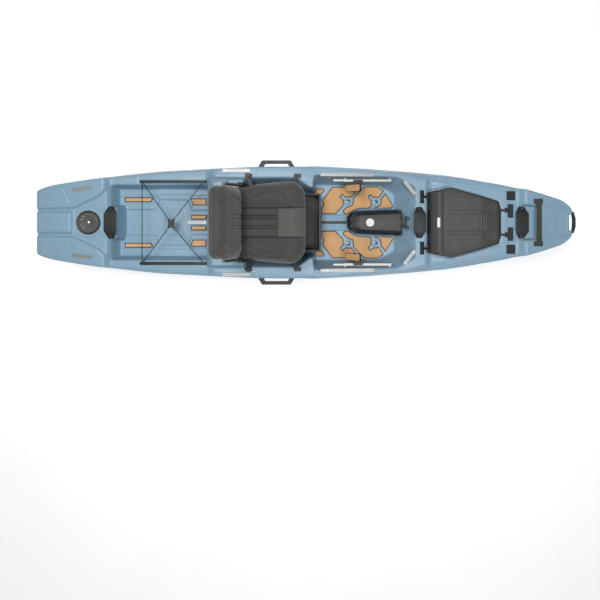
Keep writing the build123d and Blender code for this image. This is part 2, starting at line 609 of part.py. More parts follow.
def foot_braces():
    parts = {}
    for name, side in (("port", 1), ("starboard", -1)):
        rail, carriage, pedal = foot_brace(side)
        parts["foot_rail_" + name] = rail
        parts["foot_carriage_" + name] = carriage
        parts["toe_pedal_" + name] = pedal
    return parts


# ---------------------------------------------------------------- seat
def bar_end(x, y, z):
    return section([(x - 15, y, z), (x + 15, y, z), (x + 15, y, z + 7), (x - 15, y, z + 7)])


def leg(x_top, x_foot):
    """Sloping flat bar from the frame plate out to a foot on the gunwale."""
    bar = Solid.make_loft([bar_end(x_top, 140, 400), bar_end(x_foot, 332, 371)], True)
    foot = box(x_foot - 26, x_foot + 26, 322, 352, 371, 379)
    return bar.fuse(foot)


def seat_frame():
    plate = box(-372, -196, -150, 150, 398, 408)
    legs = [leg(-352, -412), leg(-216, -58)]
    frame = fuse(plate, *legs, *[mirrored(piece) for piece in legs])
    knob = Solid.make_cylinder(9, 10, Plane((-412, 341, 379))).fuse(
        Solid.make_cylinder(15, 14, Plane((-412, 341, 388))))
    rails = [box(-440, -128, s * 70 - 12, s * 70 + 12, 408, 416) for s in (1, -1)]
    return {"seat_frame": fuse(frame, *rails), "frame_knobs": fuse(knob, mirrored(knob))}


def seat_swivel():
    shoe = box(SEAT_X - 94, SEAT_X + 90, -95, 95, 416 + GAP, 424)
    hips = [box(SEAT_X - 94, SEAT_X + 90, s * 88.5 - 6, s * 88.5 + 6, 409, 424) for s in (1, -1)]
    post = Solid.make_cylinder(30, 28, Plane((SEAT_X, 0, 424)))
    shoulder = Solid.make_cone(86, 66, 14, Plane((SEAT_X, 0, 424)))
    lever = box(SEAT_X + 60, SEAT_X + 130, -108, -94, 416.5, 421)
    slide = fuse(shoe, *hips, shoulder, post, lever)
    ring = Solid.make_cone(66, 90, 22, Plane((SEAT_X, 0, 438 + GAP)))
    plate = box(-482, -194, -110, 110, 460, 491)
    hollow = box(-476, -200, -104, 104, 466, 492)
    top = plate.cut(hollow).fuse(ring.cut(Solid.make_cylinder(70, 30, Plane((SEAT_X, 0, 466)))))
    top = top.cut(Solid.make_cylinder(30 + FIT, 60, Plane((SEAT_X, 0, 430))))
    return {"seat_slide": slide, "swivel_top": top}


def rounded_back(half, top, radius):
    """Block across the boat with the turned upper corners of the backrest."""
    turns = [math.radians(15 * k) for k in range(7)]
    corner = [(half - radius + radius * math.cos(a), top - radius + radius * math.sin(a)) for a in turns]
    port = [(half, 480)] + corner
    outline = port + [(-y, z) for y, z in reversed(port)]
    wire = section([(-650, y, z) for y, z in outline])
    return Solid.extrude(Face(wire), Vector(300, 0, 0))


def seat_body():
    pan = box(-470, -40, -236, 236, 491, 499)
    ear = prism_y([(-468, 491), (-400, 491), (-424, 600), (-434, 612), (-452, 612), (-462, 600)], 262, 268)
    web = box(-466, -410, 230, 268, 491, 499)
    ears = [ear.fuse(web), mirrored(ear.fuse(web))]
    bore = cylinder(6 + FIT, (FOLD_X, -300, FOLD_Z), (FOLD_X, 300, FOLD_Z))
    pan = fuse(pan, *ears).cut(bore)
    profile = [(-490, 502), (-60, 502), (-14, 514), (1, 560), (-8, 604), (-34, 637), (-95, 650),
               (-180, 628), (-321, 591), (-490, 578)]
    plan = mirrored_outline([(-490, 244), (-385, 246), (-365, 270), (-130, 280), (-50, 240), (1, 150)])
    cushion = common(prism_y(profile, -300, 300), prism_z(plan, 450, 700))
    lower = prism_y([(-487, 500), (-545, 601), (-543, 690), (-520, 690), (-470, 640), (-425, 612),
                     (-425, 578), (-470, 512)], -260, 260)
    hollow = box(-523, -400, -251, 251, 480, 700)
    upper = prism_y([(-545, 640), (-539, 803), (-580, 935), (-560, 945), (-519, 806), (-523, 640)],
                    -225, 225)
    shell = fuse(lower.cut(hollow), common(upper, rounded_back(225, 945, BACK_CORNER)))
    stubs = [cylinder(6, (FOLD_X, s * 252, FOLD_Z), (FOLD_X, s * 274, FOLD_Z)) for s in (1, -1)]
    shell = fuse(shell, *stubs)
    back = prism_y([(-522, 650), (-445, 650), (-424, 672), (-419, 732), (-440, 830), (-485, 955),
                    (-530, 992), (-566, 978), (-559, 946), (-518, 806)], -228, 228)
    back = common(back, rounded_back(228, 992, BACK_CORNER))
    return {"seat_pan": pan, "seat_cushion": cushion, "backrest_shell": shell, "back_cushion": back}


# ---------------------------------------------------------------- rudder
def rudder():
    body = Solid.make_cylinder(TURRET_R, 254, Plane((RUDDER_X, 0, 110)))
    bore = Solid.make_cylinder(TURRET_R - 5, 254, Plane((RUDDER_X, 0, 104)))
    flange = Solid.make_cylinder(TURRET_R + 6, 7, Plane((RUDDER_X, 0, 362 + GAP)))
    knob = Solid.make_cylinder(15, 7, Plane((RUDDER_X, 0, 369 + GAP)))
    guide = common(box(RUDDER_X - 85, RUDDER_X + 40, -12, 12, 110, 362),
                   Solid.make_cylinder(TURRET_R, 254, Plane((RUDDER_X, 0, 110))))
    slot = box(RUDDER_X - 90, RUDDER_X + 32 + GAP, -5 - GAP, 5 + GAP, 100, 358)
    head = fuse(body.cut(bore), guide, flange, knob).cut(slot)
    aft, fore = RUDDER_X - 77, RUDDER_X + 32
    blade = prism_y([(aft, 62), (aft, -KEEL_Z), (aft + 8, -KEEL_Z), (fore, -157), (fore, 170),
                     (fore - 58, 170), (fore - 58, 70)], -5, 5)
    return {"rudder_turret": head, "rudder_blade": blade}


def build():
    groups = [hull_shells, rudder_trunk, tracks, bungee, floor_pads, tankwell_pads, grab_handles,
              carry_handles, bow_fittings, stern_fittings, hatch, console_pod, console_track, seat_drawer,
              foot_braces, seat_frame, seat_swivel, seat_body, rudder]
    parts = {}
    for group in groups:
        parts.update(group())
    return parts


os.makedirs("parts", exist_ok=True)
for node, shape in build().items():
    export_step(shape.moved(Location((0, 0, KEEL_Z))), "parts/" + node + ".step")
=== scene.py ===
"""Studio scene of a sit-on-top pedal kayak: hull skins, upholstery, pads, cords, fittings and materials.

Metres, in the row frame.  Hull shapes are worked out in millimetres above the keel and moved to the row
frame by row().
"""
import math

import bmesh
import bpy
import numpy as np
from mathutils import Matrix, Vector


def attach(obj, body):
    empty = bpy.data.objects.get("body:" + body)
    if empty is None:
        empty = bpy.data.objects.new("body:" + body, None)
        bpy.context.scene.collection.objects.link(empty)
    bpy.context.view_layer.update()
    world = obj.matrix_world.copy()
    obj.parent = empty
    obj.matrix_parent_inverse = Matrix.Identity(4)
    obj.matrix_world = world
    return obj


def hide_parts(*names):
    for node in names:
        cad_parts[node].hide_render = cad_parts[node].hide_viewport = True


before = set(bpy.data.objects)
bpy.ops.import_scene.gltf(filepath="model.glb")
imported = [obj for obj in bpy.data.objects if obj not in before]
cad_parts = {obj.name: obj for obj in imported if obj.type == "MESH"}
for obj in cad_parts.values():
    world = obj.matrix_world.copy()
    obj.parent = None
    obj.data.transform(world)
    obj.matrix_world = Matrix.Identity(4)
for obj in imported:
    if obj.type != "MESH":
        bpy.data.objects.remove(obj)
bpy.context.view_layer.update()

KEEL_Z = 184.0                      # keel above the tip of the lowered rudder, mm
SIDES = ((1, "port"), (-1, "starboard"))


def row(x, y, z):
    """Row frame position of a point given in millimetres above the keel."""
    return Vector((x, y, z + KEEL_Z)) / 1000


def rows(points):
    return (np.asarray(points, float) + (0, 0, KEEL_Z)) / 1000


# ------------------------------------------------------------------ hull lines, mm
SHEER = [(-1945, 378), (-1451, 385), (-1429, 335), (-716, 335), (-666, 371), (-61, 371), (76, 356),
         (560, 315), (715, 301), (885, 301), (905, 338), (983, 369), (1112, 375), (1436, 391),
         (1523, 391), (1559, 438), (1918, 399)]
BEAM = [(-1945, 236), (-1908, 254), (-1868, 270), (-1782, 288), (-1609, 317), (-1350, 353),
        (-1091, 382), (-745, 403), (-300, 423), (80, 425), (464, 403), (810, 374), (1069, 346),
        (1242, 317), (1415, 281), (1588, 238), (1710, 203), (1837, 164), (1900, 118), (1918, 92)]
BEAM_Z = [(-1945, 292), (-1609, 286), (-1091, 262), (-300, 222), (80, 212), (464, 225), (810, 243),
          (1069, 262), (1242, 268), (1415, 272), (1588, 298), (1710, 310), (1837, 321), (1918, 345)]
EDGE_INSET = [(-1945, 8), (-1350, 15), (80, 20), (810, 19), (1242, 14), (1415, 8), (1918, 3)]
KEEL = [(-1945, 268), (-1908, 205), (-1868, 143), (-1842, 123), (-1609, 108), (-1350, 88),
        (-1091, 61), (-745, 35), (-300, 6), (80, 0), (464, 9), (810, 20), (1069, 40), (1242, 70),
        (1415, 78), (1588, 84), (1710, 112), (1796, 162), (1837, 300), (1918, 338)]
CHINE = [(-1945, 120), (-1908, 165), (-1868, 200), (-1842, 210), (-1609, 250), (-1350, 280),
         (-1091, 300), (-745, 320), (-300, 335), (80, 335), (464, 318), (810, 285), (1069, 235),
         (1242, 170), (1415, 105), (1588, 70), (1710, 45), (1796, 24), (1837, 30), (1918, 40)]
CHINE_Z = [(-1945, 272), (-1908, 215), (-1868, 178), (-1842, 170), (-1609, 150), (-1350, 115),
           (-1091, 85), (-745, 58), (-300, 36), (80, 34), (464, 42), (810, 62), (1069, 82),
           (1242, 110), (1415, 150), (1588, 150), (1710, 170), (1796, 210), (1837, 305), (1918, 341)]
FLOOR_Z, TANK_Z = 125.0, 220.0
RUDDER_X, TURRET_R = -1571.0, 80.3
SCUPPERS = [(336, 164), (336, -164), (550, 160), (550, -160)]
SCUPPER_R = 15.0
ROUND = 11.0                        # radius along the gunwale
CELL = 4.0                          # spacing of the hull skin's cross lines
FINE = 3.0                          # spacing of the height map


def table(pairs, at):
    """Value of a list of (place, value) pairs, by straight lines."""
    return np.interp(at, [place for place, _ in pairs], [value for _, value in pairs])


def kernel(sigma):
    reach = max(1, int(math.ceil(3 * sigma)))
    weights = np.exp(-0.5 * (np.arange(-reach, reach + 1) / sigma) ** 2)
    return weights / weights.sum()


def soften(values, sigma, axis=0):
    """Gaussian blur along one axis; sigma in samples."""
    weights = kernel(sigma)
    reach = len(weights) // 2
    pad = [(0, 0)] * values.ndim
    pad[axis] = (reach, reach)
    padded = np.pad(values, pad, "edge")
    total = np.zeros_like(values)
    for i, weight in enumerate(weights):
        part = [slice(None)] * values.ndim
        part[axis] = slice(i, i + values.shape[axis])
        total += weight * padded[tuple(part)]
    return total


def line_of(table, xs, sigma):
    """Smoothed value of a table of (x, value) pairs at xs."""
    fine = np.arange(-2100.0, 2100.0, 2.0)
    points = np.array(table, float)
    slope0 = (points[1, 1] - points[0, 1]) / (points[1, 0] - points[0, 0])
    slope1 = (points[-1, 1] - points[-2, 1]) / (points[-1, 0] - points[-2, 0])
    values = np.interp(fine, points[:, 0], points[:, 1])
    before, after = fine < points[0, 0], fine > points[-1, 0]
    values[before] += slope0 * (fine[before] - points[0, 0])
    values[after] += slope1 * (fine[after] - points[-1, 0])
    return np.interp(xs, fine, soften(values, sigma / 2.0))


def distance(points, X, Y, closed=True):
    """Distance to a closed outline, negative inside; or to an open line."""
    best = np.full(X.shape, 1e12)
    inside = np.zeros(X.shape, bool)
    ends = points[1:] + points[:1] if closed else points[1:]
    for (x0, y0), (x1, y1) in zip(points, ends):
        dx, dy = x1 - x0, y1 - y0
        t = np.clip(((X - x0) * dx + (Y - y0) * dy) / (dx * dx + dy * dy + 1e-12), 0, 1)
        best = np.minimum(best, (X - x0 - t * dx) ** 2 + (Y - y0 - t * dy) ** 2)
        if closed and dy:
            crosses = ((y0 > Y) != (y1 > Y)) & (X < dx * (Y - y0) / dy + x0)
            inside ^= crosses
    best = np.sqrt(best)
    return np.where(inside, -best, best) if closed else best


def smooth_step(t):
    t = np.clip(t, 0, 1)
    return t * t * (3 - 2 * t)


def flip(points):
    return [(x, -y) for x, y in points]


def both_sides(points):
    """Closed plan outline from its port half."""
    return list(points) + [(x, -y) for x, y in reversed(points)]


# ------------------------------------------------------------------ height map of the deck
def sink(Z, X, Y, low, high, floor):
    """Well with sloping walls between an upper and a lower outline."""
    up = distance(high, X, Y)
    down = distance(low, X, Y)
    share = np.where(up >= 0, 0.0, np.where(down <= 0, 1.0, -up / np.maximum(-up + down, 1e-6)))
    return np.where(Z > floor, Z + (floor - Z) * share, Z)


def raise_panel(Z, X, Y, outline, height, edge=5.0):
    """Raised (or, with a negative height, sunk) panel with bevelled edges."""
    for points in (outline, flip(outline)):
        Z = Z + height * smooth_step(0.5 - distance(points, X, Y) / edge)
        if all(abs(y) == abs(v) for (_, y), (_, v) in zip(outline, reversed(outline))):
            break
    return Z


def groove(Z, X, Y, path, width, depth, mirror=True):
    lines = [path, flip(path)] if mirror else [path]
    near = np.min([distance(line, X, Y, closed=False) for line in lines], axis=0)
    return Z - depth * np.exp(-((near / width) ** 2))


def deck_heights():
    xs = np.arange(-1951.0, 1924.0 + FINE, FINE)
    ys = np.arange(-432.0, 432.0 + FINE, FINE)
    X, Y = np.meshgrid(xs, ys, indexing="ij")
    A = np.abs(Y)
    Z = np.repeat(line_of(SHEER, xs, 7.0)[:, None], len(ys), 1)
    # a slight fall of the side decks and of the foredeck outside its crease
    crease = np.interp(xs, [700, 855, 1006, 1453, 1560, 1900], [345, 327, 289, 243, 215, 110])[:, None]
    ramp = smooth_step((X - 720) / 120) * (1 - smooth_step((X - 1500) / 120))
    Z = Z - ramp * 0.30 * np.maximum(A - crease, 0) + ramp * 4 * smooth_step((crease + 3 - A) / 6)
    rail = np.interp(xs, [-1945, -1677, -1488, -1425, -716, -436, -60, 29, 80, 682, 813],
                     [215, 262, 305, 318, 345, 366, 366, 366, 366, 360, 340])[:, None]
    Z = Z - (1 - smooth_step((X - 700) / 100)) * 0.10 * np.maximum(A - rail, 0)
    # moulded block behind the seat
    block = np.interp(xs, [-716, -665, -562, -550, -440, -436], [371, 436, 436, 424, 424, 371])[:, None]
    inside = (X > -716) & (X < -438)
    side = smooth_step((322 - A) / 14)
    Z = np.where(inside, np.maximum(Z, Z + (block - Z) * side), Z)
    # wells
    stern = [(-1960, 78), (-1688, 78), (-1688, 0), (-1425, 0), (-1425, 262), (-1488, 194), (-1677, 104),
             (-1960, 94)]
    for outline in (stern, flip(stern)):
        near = distance(outline, X, Y)
        Z = np.where(Z > 362, Z + (362 - Z) * smooth_step(0.5 - near / 10), Z)
    Z = sink(Z, X, Y, both_sides([(-1405, 262), (-722, 262)]), both_sides([(-1418, 267), (-716, 270)]),
             TANK_Z)
    ledge = smooth_step((X + 1445) / 6) * smooth_step((-1364 - X) / 6) * smooth_step((122 - A) / 6)
    Z = np.maximum(Z, Z + (362 - Z) * ledge)
    Z = sink(Z, X, Y, both_sides([(-430, 240), (-60, 240), (20, 235), (120, 235)]),
             both_sides([(-436, 322), (-60, 322), (29, 253), (120, 253)]), FLOOR_Z)
    Z = sink(Z, X, Y, both_sides([(66, 300), (575, 292), (690, 222)]),
             both_sides([(66, 344), (682, 338), (813, 262)]), FLOOR_Z)
    Z = sink(Z, X, Y, both_sides([(337, 40), (360, 64), (396, 80), (725, 90)]),
             both_sides([(335, 42), (358, 67), (395, 83), (728, 93)]), 66)
    Z = sink(Z, X, Y, both_sides([(920, 196), (1026, 218), (1345, 122), (1362, 66)]),
             both_sides([(908, 204), (1026, 234), (1362, 138), (1380, 80)]), 190)
    # bow tray
    tray = np.interp(xs, [1566, 1930], [426, 386])[:, None]
    width = np.interp(xs, [1500, 1665, 1918], [128, 122, 98])[:, None]
    low = np.where(X < 1665, 391.0, tray)
    inside = (X > 1500) & (A < width)
    wall = smooth_step((width - A) / 9) * smooth_step((X - 1500) / 9)
    Z = np.where(inside & (Z > low), Z + (low - Z) * wall, Z)
    # turn every moulded corner
    Z = soften(soften(Z, 1.7, 0), 1.7, 1)
    return xs, ys, X, Y, A, Z


def deck_details(xs, ys, X, Y, A, Z):
    """Panels, ribs and creases, sharper than the wells."""
    panel = lambda z, outline, height, edge=5.0: raise_panel(z, X, Y, outline, height, edge)
    # stern: raised pad, corner panels, bracket around the turret
    Z = panel(Z, both_sides([(-1936, 66), (-1702, 66), (-1700, 58)]), 3.0, 6)
    Z = panel(Z, [(-1925, 110), (-1915, 232), (-1752, 252), (-1690, 120)], 2.4, 6)
    Z = groove(Z, X, Y, [(-1752, 256), (-1684, 118)], 3.2, 3.4)
    Z = panel(Z, [(-1660, 160), (-1668, 216), (-1535, 246), (-1480, 222)], 2.2, 7)
    Z = groove(Z, X, Y, [(-1660, 92), (-1562, 118), (-1518, 84), (-1445, 126)], 3.4, 4.6)
    Z = groove(Z, X, Y, [(-1468, 74), (-1468, -74)], 3, 2.4, mirror=False)
    Z = groove(Z, X, Y, [(-1468, 76), (-1516, 64)], 3, 2.2)
    # tankwell floor: sunk middle, side strips, mesh of shallow lines
    middle = both_sides([(-1360, 97), (-1136, 97), (-1100, 174), (-888, 170), (-858, 92), (-736, 92)])
    Z = panel(Z, middle, -9.0, 6)
    Z = panel(Z, both_sides([(-1064, 78), (-1020, 96), (-935, 96), (-905, 78)]), 3.0, 7)
    for y in (199, 247):
        Z = groove(Z, X, Y, [(-1395, y), (-1120, y), (-1100, y + 10), (-880, y + 10), (-860, y), (-736, y)],
                   3.4, 4.5)
    Z = groove(Z, X, Y, [(-1360, 140), (-1130, 140)], 2.5, 2.4)
    # facets on the side decks and beside the seat
    Z = panel(Z, [(-1430, 276), (-1430, 322), (-1225, 338), (-1225, 282)], 1.6, 6)
    Z = groove(Z, X, Y, [(-1405, 330), (-1100, 360), (-740, 382)], 3.4, 3.6)
    Z = panel(Z, [(-640, 352), (-640, 396), (-350, 402), (-350, 352)], 2.2, 7)
    Z = panel(Z, [(-40, 340), (70, 290), (70, 384), (-40, 392)], 2.2, 8)
    Z = groove(Z, X, Y, [(62, 372), (700, 342)], 3.4, 3.6)
    Z = panel(Z, [(84, 336), (520, 336), (520, 364), (84, 372)], 1.8, 6)
    # riser details
    Z = panel(Z, both_sides([(-660, 120), (-640, 150), (-570, 150), (-560, 120)]), -4.0, 8)
    Z = panel(Z, [(-655, 190), (-655, 290), (-565, 290), (-565, 190)], 3.0, 8)
    # footwell floor: rim around each scupper, channels toward the corners, console spine
    for x, y in SCUPPERS:
        near = np.hypot(X - x, Y - y)
        Z = Z - 3.0 * smooth_step((33 - near) / 5) + 2.0 * np.exp(-(((near - 19) / 3.2) ** 2))
    spine = both_sides([(100, 58), (336, 58), (352, 52)])
    Z = np.where(distance(spine, X, Y) < 14, Z + 11 * smooth_step(0.5 - distance(spine, X, Y) / 8), Z)
    ribs = (X > 104) & (X < 331) & (A < 50)
    comb = 4.2 * np.cos(2 * np.pi * A / 16.0 + np.pi) * (A > 12)
    Z = np.where(ribs, Z + comb * smooth_step((X - 104) / 8) * smooth_step((331 - X) / 8), Z)
    ring = both_sides([(322, 62), (356, 106), (748, 104)])
    gap = distance(ring, X, Y)
    Z = np.where((gap > 0) & (Z < 150) & (X < 650), Z + 9 * np.exp(-((gap / 7) ** 2)), Z)
    # forward wall of the footwell: facets beside the console hinge
    Z = np.where((X > 676) & (X < 830), Z + 8 * smooth_step(0.5 - distance(
        [(690, 96), (742, 96), (802, 134), (786, 176), (744, 150)], np.where(X > 0, X, 0), A) / 16), Z)
    # deck between footwell and hatch, foredeck creases, bow shoulders
    Z = panel(Z, both_sides([(776, 138), (800, 150), (868, 150), (884, 132)]), -2.4, 8)
    Z = groove(Z, X, Y, [(900, 86), (884, 128), (866, 160)], 3, 1.8)
    Z = panel(Z, [(830, 262), (905, 262), (1004, 282), (850, 320)], 2.4, 8)
    border = both_sides([(880, 232), (1030, 262), (1390, 162), (1412, 98)])
    gap = distance(border, X, Y)
    Z = Z - 4.0 * smooth_step(0.5 - gap / 8) * (X > 884)
    Z = groove(Z, X, Y, [(1006, 290), (1230, 250), (1453, 226)], 3.4, 4.4)
    Z = groove(Z, X, Y, [(1440, 146), (1500, 140), (1900, 104)], 4, 3.0)
    Z = groove(Z, X, Y, [(1453, 232), (1560, 208), (1880, 124)], 3, 1.6)
    Z = panel(Z, both_sides([(1582, 88), (1632, 88)]), 3.0, 8)
    Z = panel(Z, both_sides([(1716, 86), (1878, 78)]), -2.6, 7)
    Z = groove(Z, X, Y, [(1418, 64), (1440, 64)], 4, 2.0)
    Z = panel(Z, both_sides([(1412, 22), (1440, 22)]), 4.0, 6)
    return soften(soften(Z, 0.7, 0), 0.7, 1)


def sample(field, xs, ys, X, Y):
    """Value of the height map between its points."""
    u = np.clip((X - xs[0]) / FINE, 0, len(xs) - 1.001)
    v = np.clip((Y - ys[0]) / FINE, 0, len(ys) - 1.001)
    i, j = u.astype(int), v.astype(int)
    u, v = u - i, v - j
    return (field[i, j] * (1 - u) * (1 - v) + field[i + 1, j] * u * (1 - v)
            + field[i, j + 1] * (1 - u) * v + field[i + 1, j + 1] * u * v)


# ------------------------------------------------------------------ mesh helpers
def link(name, mesh):
    piece = bpy.data.objects.new(name, mesh)
    bpy.context.scene.collection.objects.link(piece)
    return piece


def mesh_piece(name, verts, faces, material=None, smooth=True):
    mesh = bpy.data.meshes.new(name)
    mesh.from_pydata([tuple(v) for v in verts], [], faces)
    mesh.update()
    if smooth:
        mesh.shade_smooth()
    piece = link(name, mesh)
    if material:
        mesh.materials.append(material)
    return piece


def from_bmesh(name, bm, material=None, smooth=True):
    bmesh.ops.recalc_face_normals(bm, faces=bm.faces)
    mesh = bpy.data.meshes.new(name)
    bm.to_mesh(mesh)
    bm.free()
    if smooth:
        mesh.shade_smooth()
    piece = link(name, mesh)
    if material:
        mesh.materials.append(material)
    return piece


def grid_piece(name, P, N, keep, material):
    """Piece of a surface grid, with the normals of the whole grid."""
    nu, nv = P.shape[:2]
    index = np.arange(nu * nv).reshape(nu, nv)
    quads = np.stack([index[:-1, :-1], index[1:, :-1], index[1:, 1:], index[:-1, 1:]], -1)[keep]
    used, quads = np.unique(quads, return_inverse=True)
    quads = quads.reshape(-1, 4)
    verts = rows(P.reshape(-1, 3)[used])
    piece = mesh_piece(name, verts.tolist(), quads.tolist(), material)
    normals = N.reshape(-1, 3)[used]
    piece.data.normals_split_custom_set_from_vertices(normals.tolist())
    return piece


def grid_normals(P):
    normal = np.cross(np.gradient(P, axis=0), np.gradient(P, axis=1))
    size = np.linalg.norm(normal, axis=2, keepdims=True)
    return normal / np.maximum(size, 1e-9)


# ------------------------------------------------------------------ materials
def srgb(r, g, b):
    """Linear colour of an sRGB one in 0..255."""
    return tuple(((c / 255 + 0.055) / 1.055) ** 2.4 if c > 10 else c / 255 / 12.92
                 for c in (r, g, b)) + (1.0,)


def shade(colour, by):
    return tuple(min(1.0, c * by) for c in colour[:3]) + (1.0,)


class Nodes:
    """Small builder for one material's node tree."""

    def __init__(self, name, metallic=0.0, specular=0.5, coat=0.0, sheen=0.0):
        self.material = bpy.data.materials.new(name)
        self.material.use_nodes = True
        self.tree = self.material.node_tree
        self.shader = self.tree.nodes["Principled BSDF"]
        self.shader.inputs["Metallic"].default_value = metallic
        self.shader.inputs["Specular IOR Level"].default_value = specular
        self.shader.inputs["Coat Weight"].default_value = coat
        self.shader.inputs["Sheen Weight"].default_value = sheen
        self.where = self.tree.nodes.new("ShaderNodeTexCoord").outputs["Object"]

    def add(self, kind, **values):
        node = self.tree.nodes.new(kind)
        for key, value in values.items():
            if key in node.inputs:
                node.inputs[key].default_value = value
            else:
                setattr(node, key, value)
        return node

    def join(self, output, target):
        self.tree.links.new(output, target)

    def noise(self, scale, detail=3.0, stretch=None, roughness=0.5):
        node = self.add("ShaderNodeTexNoise", Scale=scale, Detail=detail, Roughness=roughness)
        source = self.where
        if stretch:
            mapping = self.add("ShaderNodeMapping")
            mapping.inputs["Scale"].default_value = stretch
            self.join(source, mapping.inputs["Vector"])
            source = mapping.outputs["Vector"]
        self.join(source, node.inputs["Vector"])
        return node.outputs["Fac"]

    def ramp(self, source, stops):
        node = self.tree.nodes.new("ShaderNodeValToRGB")
        ramp = node.color_ramp
        ramp.elements[0].position, ramp.elements[0].color = stops[0]
        ramp.elements[1].position, ramp.elements[1].color = stops[-1]
        for position, colour in stops[1:-1]:
            ramp.elements.new(position).color = colour
        self.join(source, node.inputs["Fac"])
        return node.outputs["Color"]

    def colour(self, source, stops):
        self.join(self.ramp(source, stops), self.shader.inputs["Base Color"])

    def mix(self, factor, first, second):
        node = self.tree.nodes.new("ShaderNodeMix")
        node.data_type = "RGBA"
        self.join(factor, node.inputs["Factor"])
        for value, target in ((first, node.inputs[6]), (second, node.inputs[7])):
            if isinstance(value, tuple):
                target.default_value = value
            else:
                self.join(value, target)
        return node.outputs[2]

    def spread(self, source, low, high, socket="Roughness"):
        node = self.add("ShaderNodeMapRange")
        node.inputs["To Min"].default_value = low
        node.inputs["To Max"].default_value = high
        self.join(source, node.inputs["Value"])
        self.join(node.outputs["Result"], self.shader.inputs[socket])

    def bump(self, source, height, strength=1.0, after=None):
        node = self.add("ShaderNodeBump", Strength=strength, Distance=height)
        self.join(source, node.inputs["Height"])
        if after:
            self.join(after, node.inputs["Normal"])
        self.join(node.outputs["Normal"], self.shader.inputs["Normal"])
        return node.outputs["Normal"]


def moulded(name, colour, rough=(0.4, 0.6), grain=900.0, depth=0.0002, spread=0.12, specular=0.45):
    """Moulded plastic: broad colour drift, fine orange peel, scuffed shine."""
    made = Nodes(name, specular=specular)
    broad = made.noise(3.0, 4.0)
    made.colour(broad, [(0.3, shade(colour, 1 - spread)), (0.55, colour), (0.75, shade(colour, 1 + spread))])
    made.spread(made.noise(24.0, 5.0), *rough)
    soft = made.bump(made.noise(60.0, 2.0), 0.0004, 0.5)
    made.bump(made.noise(grain, 2.0), depth, 0.8, after=soft)
    return made.material


def hull_material():
    """Rotomoulded polyethylene: soft drift, pale flecks, slight ripple."""
    colour = srgb(132, 163, 183)
    made = Nodes("hull_polyethylene", specular=0.45, coat=0.06)
    drift = made.noise(1.6, 5.0)
    base = made.ramp(drift, [(0.3, shade(colour, 0.94)), (0.5, colour), (0.72, shade(colour, 1.05))])
    fleck = made.ramp(made.noise(420.0, 2.0), [(0.62, (0, 0, 0, 1)), (0.74, (1, 1, 1, 1))])
    scuff = made.ramp(made.noise(30.0, 6.0, stretch=(0.25, 1, 1)),
                      [(0.66, (0, 0, 0, 1)), (0.82, (1, 1, 1, 1))])
    flecked = made.mix(fleck, base, shade(colour, 1.14))
    made.join(made.mix(scuff, flecked, shade(colour, 1.06)), made.shader.inputs["Base Color"])
    made.spread(made.noise(14.0, 5.0), 0.34, 0.52)
    ripple = made.bump(made.noise(16.0, 2.0), 0.0011, 0.55)
    made.bump(made.noise(650.0, 2.0), 0.00022, 0.7, after=ripple)
    return made.material


def metal(name, colour, rough=(0.25, 0.45), stretch=(1, 30, 30)):
    made = Nodes(name, metallic=0.9)
    brushed = made.noise(40.0, 4.0, stretch=stretch)
    made.colour(brushed, [(0.3, shade(colour, 0.86)), (0.7, shade(colour, 1.08))])
    made.spread(brushed, *rough)
    made.bump(brushed, 0.00008, 0.5)
    return made.material


def foam(name, colour, depth=0.0005):
    """Closed-cell foam sheet with a fine pebbled face."""
    made = Nodes(name, specular=0.25)
    drift = made.noise(9.0, 5.0)
    pebble = made.add("ShaderNodeTexVoronoi", Scale=520.0)
    made.join(made.where, pebble.inputs["Vector"])
    base = made.ramp(drift, [(0.3, shade(colour, 0.88)), (0.5, colour), (0.72, shade(colour, 1.1))])
    speck = made.ramp(pebble.outputs["Distance"], [(0.0, (1, 1, 1, 1)), (0.5, (0, 0, 0, 1))])
    made.join(made.mix(speck, base, shade(colour, 0.86)), made.shader.inputs["Base Color"])
    made.spread(drift, 0.72, 0.9)
    made.bump(pebble.outputs["Distance"], depth, 0.7)
    return made.material


def upholstery(name, colour):
    """Coated woven seat cover: fine crossed threads, soft creases, slight sheen."""
    made = Nodes(name, specular=0.28, sheen=0.25)
    made.shader.inputs["Sheen Roughness"].default_value = 0.5
    warp = made.add("ShaderNodeTexWave", Scale=130.0, Distortion=0.6)
    warp.bands_direction = "X"
    weft = made.add("ShaderNodeTexWave", Scale=130.0, Distortion=0.6)
    weft.bands_direction = "Y"
    for node in (warp, weft):
        made.join(made.where, node.inputs["Vector"])
    threads = made.add("ShaderNodeMath", operation="MULTIPLY")
    made.join(warp.outputs["Fac"], threads.inputs[0])
    made.join(weft.outputs["Fac"], threads.inputs[1])
    broad = made.ramp(made.noise(7.0, 5.0), [(0.3, shade(colour, 0.86)), (0.7, shade(colour, 1.12))])
    made.join(made.mix(threads.outputs[0], shade(colour, 0.8), broad),
              made.shader.inputs["Base Color"])
    made.spread(made.noise(18.0, 4.0), 0.55, 0.75)
    creased = made.bump(made.noise(11.0, 4.0, stretch=(1, 2.2, 1)), 0.0016, 0.5)
    made.bump(threads.outputs[0], 0.00035, 0.8, after=creased)
    return made.material


